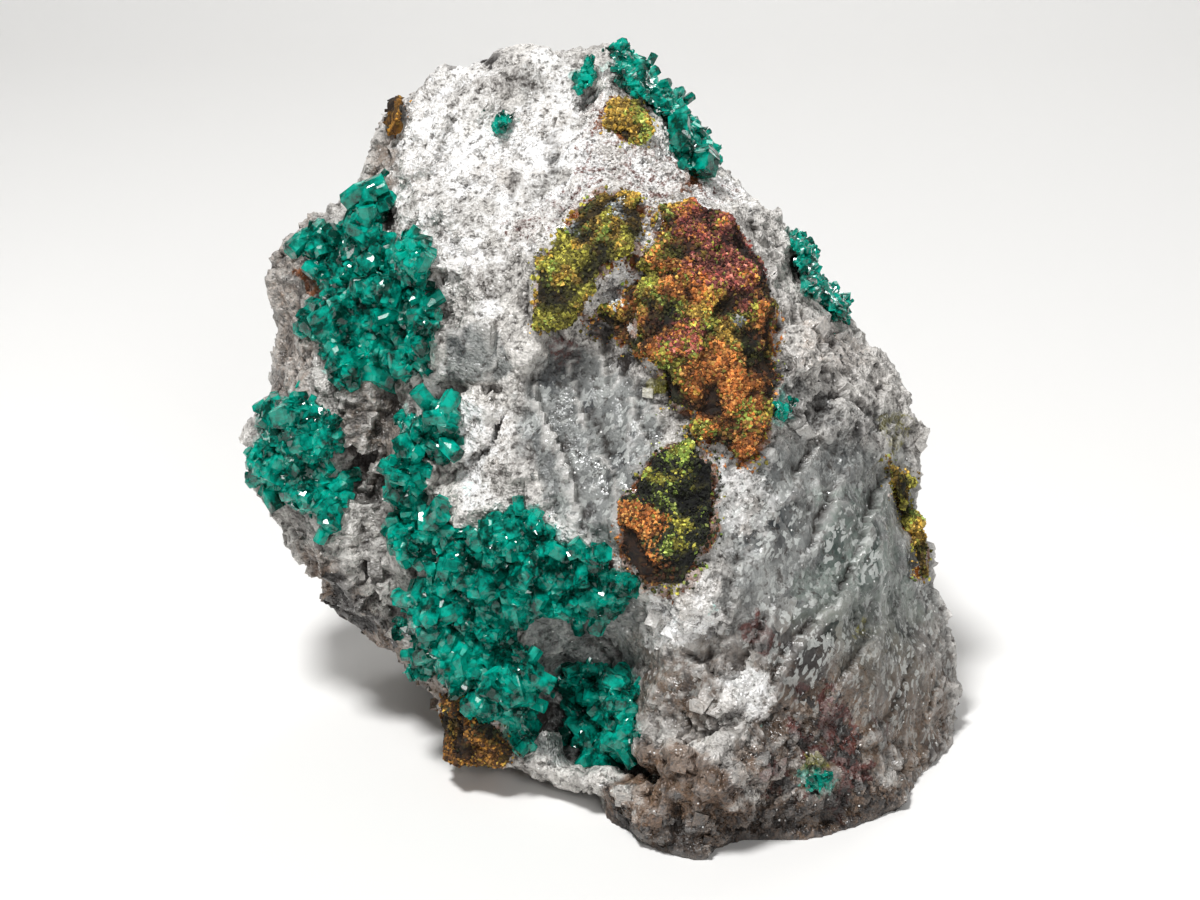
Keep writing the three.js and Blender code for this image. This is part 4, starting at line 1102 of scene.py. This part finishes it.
def crowded_group(node, count, radii, seed):
    """The group's solid, its surface roughened, with many small crystals grown into it, and
    more around its edge."""
    rng = np.random.default_rng(seed)
    group = remeshed(node + "_crystals", node_shape(node), GROUP_VOXEL, 0)
    points, normals = points_of(group.data)
    sideways = normals - np.outer(normals @ TOWARDS, TOWARDS)
    points += ragged_outline(points, 0.6, seed) - 0.2 * sideways
    rough = broken_faces(points, 2.0, 0.45, 0.5, seed) + broken_faces(points, 0.9, 0.5, 0.2, seed)
    points += normals * (rough - 0.2)[:, None]
    set_points(group.data, points)
    outward = smoothstep(normals @ TOWARDS, -0.35, 0.3)
    places, facing, _ = surface_seats(group.data, count, outward + 0.02, rng)
    edge_count = count // RIM_PART
    rim = surface_seats(block.data, edge_count, fringe(node, 3 * radii[0] + 0.2), rng)
    places = np.concatenate([places, rim[0] - 0.3 * radii[0] * rim[1]])
    facing = np.concatenate([facing, rim[1]])
    size = np.concatenate([np.ones(count), np.full(edge_count, RIM_SIZE)])
    young = bpy.data.collections.new("young crystals")
    bpy.context.scene.collection.children.link(young)
    for place, normal, share in zip(places, facing, size):
        radius = share * radii[0] * (radii[1] / radii[0]) ** rng.random()
        young.objects.link(young_crystal(place, normal, radius, rng))
    seen = Seen(points)
    for right, up, radius, axis in LARGE_CRYSTALS.get(node, []):
        nearest = np.argmin(np.hypot(seen.right - right, seen.up - up) - 0.3 * seen.out)
        axis = axis[0] * ACROSS + axis[1] * RISE + axis[2] * TOWARDS
        foot = points[nearest] + 0.15 * radius * axis
        young.objects.link(young_crystal(foot, axis, radius, rng))
    join = group.modifiers.new("grown together", "BOOLEAN")
    join.operation = "UNION"
    join.operand_type = "COLLECTION"
    join.collection = young
    join.solver = "MANIFOLD"
    finished(group)
    for crystal in list(young.objects):
        bpy.data.meshes.remove(crystal.data)
    bpy.data.collections.remove(young)
    group.data.shade_flat()
    dress(group, DIOPTASE, node)
    print(node, count, "crystals,", len(group.data.polygons), "faces")


# %% The groups
# How many crystals each group gets, and their smallest and largest radius in millimetres.
CROWDS = {
    "dioptase_upper_left": (700, (0.22, 1.05)),
    "dioptase_far_left": (300, (0.22, 0.95)),
    "dioptase_centre": (1300, (0.22, 1.0)),
    "dioptase_pocket": (260, (0.22, 1.0)),
    "dioptase_top_ridge": (170, (0.2, 0.6)),
    "dioptase_right_edge": (110, (0.18, 0.5)),
    "dioptase_cap": (34, (0.12, 0.3)),
    "dioptase_top_small": (34, (0.15, 0.4)),
    "dioptase_notch": (20, (0.15, 0.4)),
    "dioptase_lower_left": (14, (0.15, 0.4)),
    "dioptase_lower_right": (20, (0.15, 0.4)),
}
for order, (node, (count, radii)) in enumerate(CROWDS.items()):
    crowded_group(node, count, radii, 100 + order)

# %% [markdown]
# ## Crusts
#
# Each crust is its measured layer, meshed evenly, pitted and lumpy, with granules from 0.1 to
# 0.7 mm heaped on it. Colour runs in patches a millimetre or two wide, as one mineral gives way
# to the next: olive and mustard, orange in the lower middle, maroon at the top right, near black
# in the dark one. Painted shade darkens the pits and the granules in them.

# %% Palettes
PALETTES = {
    "olive": ["#6A6624", "#8A8634", "#A09A42", "#504A1C", "#787230", "#5A5420"],
    "lime": ["#74863A", "#8C9A4C", "#627430", "#9CA458", "#566826", "#7C8838"],
    "mustard": ["#A08234", "#B49446", "#846828", "#927636", "#604C22", "#78662E"],
    "orange": ["#A0622E", "#B67A40", "#824C26", "#945626", "#623A1E", "#AA7E44"],
    "maroon": ["#7A3C34", "#905042", "#622E2E", "#A06658", "#4A2624", "#865040"],
    "brown": ["#5A3A1C", "#7A5224", "#3A2412", "#96692A", "#4A3018", "#6A4C24"],
    "pale": ["#A9ACA8", "#C4C2BC", "#8E9294", "#B6BDBE", "#6E6F6C", "#D0CEC8"],
    "dark": ["#20221A", "#2E331C", "#171814", "#3C441E", "#26281C", "#1C1C17"],
    "gold": ["#A8741E", "#8E5E18", "#B88A34", "#6E4614", "#9A6A20", "#80541A"],
}
PALETTE_TABLE = {name: np.array([linear(colour)[:3] for colour in colours])
                 for name, colours in PALETTES.items()}


def same_edge(places, soft, fray):
    """Rows of right, up and radius in millimetres, as spots that share an edge."""
    return [(1, *place, soft, fray) for place in places]


MAROON_SPOTS = same_edge(
    [(12, 20.5, 4), (8.3, 12, 2.2), (14, 16, 2.2), (9, 22.5, 2), (15.5, 19, 2)], 1.2, 1.4)
ORANGE_SPOTS = same_edge(
    [(12, 6, 4.2), (6.5, 11, 2.2), (12.5, 1, 3), (16.2, 12, 1.6), (8, 17, 2.2)], 1.2, 1.4)
PALE_SPOTS = same_edge(
    [(9.5, 20.5, 0.5), (13.5, 13, 0.9), (1.2, 15, 0.8), (2, 24, 0.5), (-3, 22, 0.5)], 0.6, 1)
LOWER_ORANGE = same_edge([(4, -7.5, 2.7), (4.4, -11.5, 1.8), (3, -9.5, 1.8)], 1.4, 1.6)

# %% A colour for each granule
def granule_colours(node, points, rng):
    """One linear colour per point, chosen from the palettes by place."""
    seen = Seen(points)
    drift = soft_noise(points, 2.2, 61) + 0.7 * soft_noise(points, 0.9, 62)
    second = soft_noise(points, 1.8, 63) + 0.4 * soft_noise(points, 0.7, 64)
    kinds = {"olive": 0.5 + drift, "mustard": 0.45 - drift, "lime": 0.2 + 0.9 * second}
    if node == "iron_crust_centre":
        kinds["maroon"] = 1.7 * largest(*seen.spots(MAROON_SPOTS))
        kinds["orange"] = 0.5 - second + 1.3 * largest(*seen.spots(ORANGE_SPOTS))
    if node == "dark_crust_lower":
        kinds = {"dark": 1.0 + drift, "olive": 0.5 - 0.6 * drift,
                 "lime": 0.3 + second + 0.4 * seen.spot(7, -2.5, 3, 1.5, 1.5),
                 "orange": 2.6 * largest(*seen.spots(LOWER_ORANGE))}
    if node == "iron_crust_lower_left":
        kinds = {"brown": 1.2 + drift, "mustard": 0.5 - 0.5 * drift, "dark": 0.5 + second}
    if node == "golden_chip":
        kinds = {"gold": 1 + 0 * drift}
    kinds["pale"] = 1.6 * largest(*seen.spots(PALE_SPOTS))
    names = list(kinds)
    weights = np.clip(np.stack([kinds[name] for name in names], axis=1), 0.05, None) ** 3
    bounds = np.cumsum(weights / weights.sum(axis=1, keepdims=True), axis=1)
    kind = (rng.random((len(points), 1)) > bounds).sum(axis=1).clip(0, len(names) - 1)
    table = np.stack([PALETTE_TABLE[name] for name in names])
    colours = table[kind, rng.integers(0, 6, len(points))]
    return colours * rng.uniform(0.4, 2.3, (len(points), 1))


# %% Granules
def granule_template():
    """A grain of grit: eight faces, no two alike."""
    points = np.array([(1, 0.1, 0), (-0.9, 0, 0.1), (0, 0.8, 0.1), (0.1, -1, 0), (0, 0.15, 0.9),
                       (-0.1, 0, -0.8)])
    faces = np.array([(0, 2, 4), (2, 1, 4), (1, 3, 4), (3, 0, 4), (2, 0, 5), (1, 2, 5), (3, 1, 5),
                      (0, 3, 5)])
    return points, faces


GRANULE = granule_template()
SPILT_PART = 6  # one granule beside the crust for every so many on it
SPILT_REACH = 1.5
# The record's slot for each crust, and how many granules it gets.
CRUST_GRANULES = {
    "iron_crust_centre": ("iron_crust", 16000),
    "olive_crust_upper": ("olive_crust", 5000),
    "olive_crust_apex": ("olive_crust", 1300),
    "dark_crust_lower": ("dark_crust", 6000),
    "iron_crust_lower_left": ("iron_crust", 3200),
    "iron_crust_right": ("olive_crust", 2000),
    "golden_chip": ("golden_flake", 60),
}

# %% A crust and its granules
def crusted(node, count, seed):
    """The crust's body and its granules, two pieces."""
    rng = np.random.default_rng(seed)
    body = remeshed(node + "_body", node_shape(node), 0.30, 2)
    points, normals = points_of(body.data)
    height = 0.65 * soft_noise(points, 1.9, seed) + 0.3 * soft_noise(points, 0.8, seed + 1)
    points += normals * height[:, None] + ragged_outline(points, 0.8, seed)
    set_points(body.data, points)
    # painted shade: the lower a point of the crust lies, the darker its colour
    crust_pit_shade = (0.05 + 0.95 * smoothstep(height, -0.3, 0.4))[:, None]
    set_colours(body.data, "granule", granule_colours(node, points, rng) * crust_pit_shade * 0.85)
    outward = smoothstep(normals @ TOWARDS, -0.3, 0.2) * (0.25 + smoothstep(height, -0.2, 0.3))
    places, facing, near = surface_seats(body.data, count, outward + 0.01, rng)
    spilt = surface_seats(block.data, count // SPILT_PART, fringe(node, SPILT_REACH), rng)
    crust_pit_shade = np.concatenate([crust_pit_shade[near], np.ones((len(spilt[0]), 1))])
    places, facing = np.concatenate([places, spilt[0]]), np.concatenate([facing, spilt[1]])
    count = len(places)
    sizes = 0.08 + 0.22 * rng.random(count) ** 2.2
    places = places + facing * (0.25 * sizes[:, None])
    stretch = rng.uniform(0.6, 1.3, (count, 3)) * sizes[:, None]
    frames = turned(rng.normal(size=(count, 4))) * stretch[:, None, :]
    heap = mesh_object(node + "_granules", *scattered(GRANULE, places, frames))
    # painted shade: granules in the pits are darker, and those spilt beside the crust are not
    tints = granule_colours(node, places, rng) * (0.05 + 1.3 * crust_pit_shade)
    set_colours(heap.data, "granule", np.repeat(tints, len(GRANULE[0]), axis=0))
    dress(body, CRUST, node)
    dress(heap, CRUST)
    print(node, count, "granules,", len(body.data.polygons), "faces below them")


for order, (node, (slot_name, count)) in enumerate(CRUST_GRANULES.items()):
    crusted(node, count, 200 + order)

# %% [markdown]
# ## Floor, light and camera
#
# The stone stands on a pale floor that curves up behind it. A soft light as wide as a hand hangs
# high in front on the left, a weaker one fills from the right, a third lights the back, and a
# pale world lifts the shadows. The camera stands where the eye of the survey stood: 240 mm from
# the middle, 20 degrees up. Its 72 mm lens on a 36 mm sensor sees 120 mm across at that
# distance. Colours are shown as they are, without a film curve, so the greens keep their
# strength.

# %% Floor
FLOOR_HALF_WIDTH, FLOOR_FRONT, FLOOR_BACK, FLOOR_BEND, FLOOR_TOP = 3000, -3000, 350, 150, 900


def pale_floor():
    """Matt paper in millimetres: flat in front, then a quarter bend and a wall."""
    material, tree = blank_material("pale_paper")
    shader = add(tree, "BsdfPrincipled", {"Base Color": "#EFEEEC", "Roughness": 0.9})
    add(tree, "OutputMaterial", {"Surface": shader})
    bend = [(FLOOR_BACK + FLOOR_BEND * math.sin(a), FLOOR_BEND - FLOOR_BEND * math.cos(a))
            for a in np.linspace(0, math.pi / 2, 13)]
    profile = [(FLOOR_FRONT, 0), *bend, (FLOOR_BACK + FLOOR_BEND, FLOOR_TOP)]
    points = np.array([(side * FLOOR_HALF_WIDTH, y, z) for y, z in profile for side in (-1, 1)],
                      dtype=float)
    faces = np.array([(2 * k, 2 * k + 1, 2 * k + 3, 2 * k + 2) for k in range(len(profile) - 1)])
    floor = mesh_object("floor", points, faces, smooth=True)
    floor.data.materials.append(material)


pale_floor()

# %% Light
# Place in metres, size in metres and power in watts.
LIGHTS = {
    "high_key": ((-0.12, -0.16, 0.50), 0.11, 2.7),
    "front_fill": ((0.16, -0.50, 0.30), 0.16, 0.8),
    "back_rim": ((0.10, 0.40, 0.42), 0.30, 0.8),
}
for name, (place, size, power) in LIGHTS.items():
    lamp = bpy.data.lights.new(name, "AREA")
    lamp.shape = "DISK"
    lamp.size = size
    lamp.energy = power
    light = bpy.data.objects.new(name, lamp)
    light.location = place
    aim = Vector(tuple(MIDDLE * MM)) - Vector(place)
    light.rotation_euler = aim.to_track_quat("-Z", "Y").to_euler()
    bpy.context.scene.collection.objects.link(light)
    print(name, size, "m across,", power, "W")
world = bpy.data.worlds.new("pale room")
world.use_nodes = True
bpy.context.scene.world = world
room_light = world.node_tree.nodes["Background"].inputs
room_light["Color"].default_value = linear("#F2F4F6")
room_light["Strength"].default_value = 0.12
bpy.context.scene.view_settings.view_transform = "Standard"

# %% Camera
FOCAL_LENGTH = 72
SENSOR_WIDTH = 36
lens = bpy.data.cameras.new("survey_eye")
lens.lens = FOCAL_LENGTH
lens.sensor_width = SENSOR_WIDTH
camera = bpy.data.objects.new("survey_eye", lens)
camera.location = tuple((MIDDLE + EYE_DISTANCE * TOWARDS) * MM)
camera.rotation_euler = Vector(-TOWARDS).to_track_quat("-Z", "Y").to_euler()
bpy.context.scene.collection.objects.link(camera)
bpy.context.scene.camera = camera
print("camera at, m:", [round(axis, 4) for axis in camera.location])
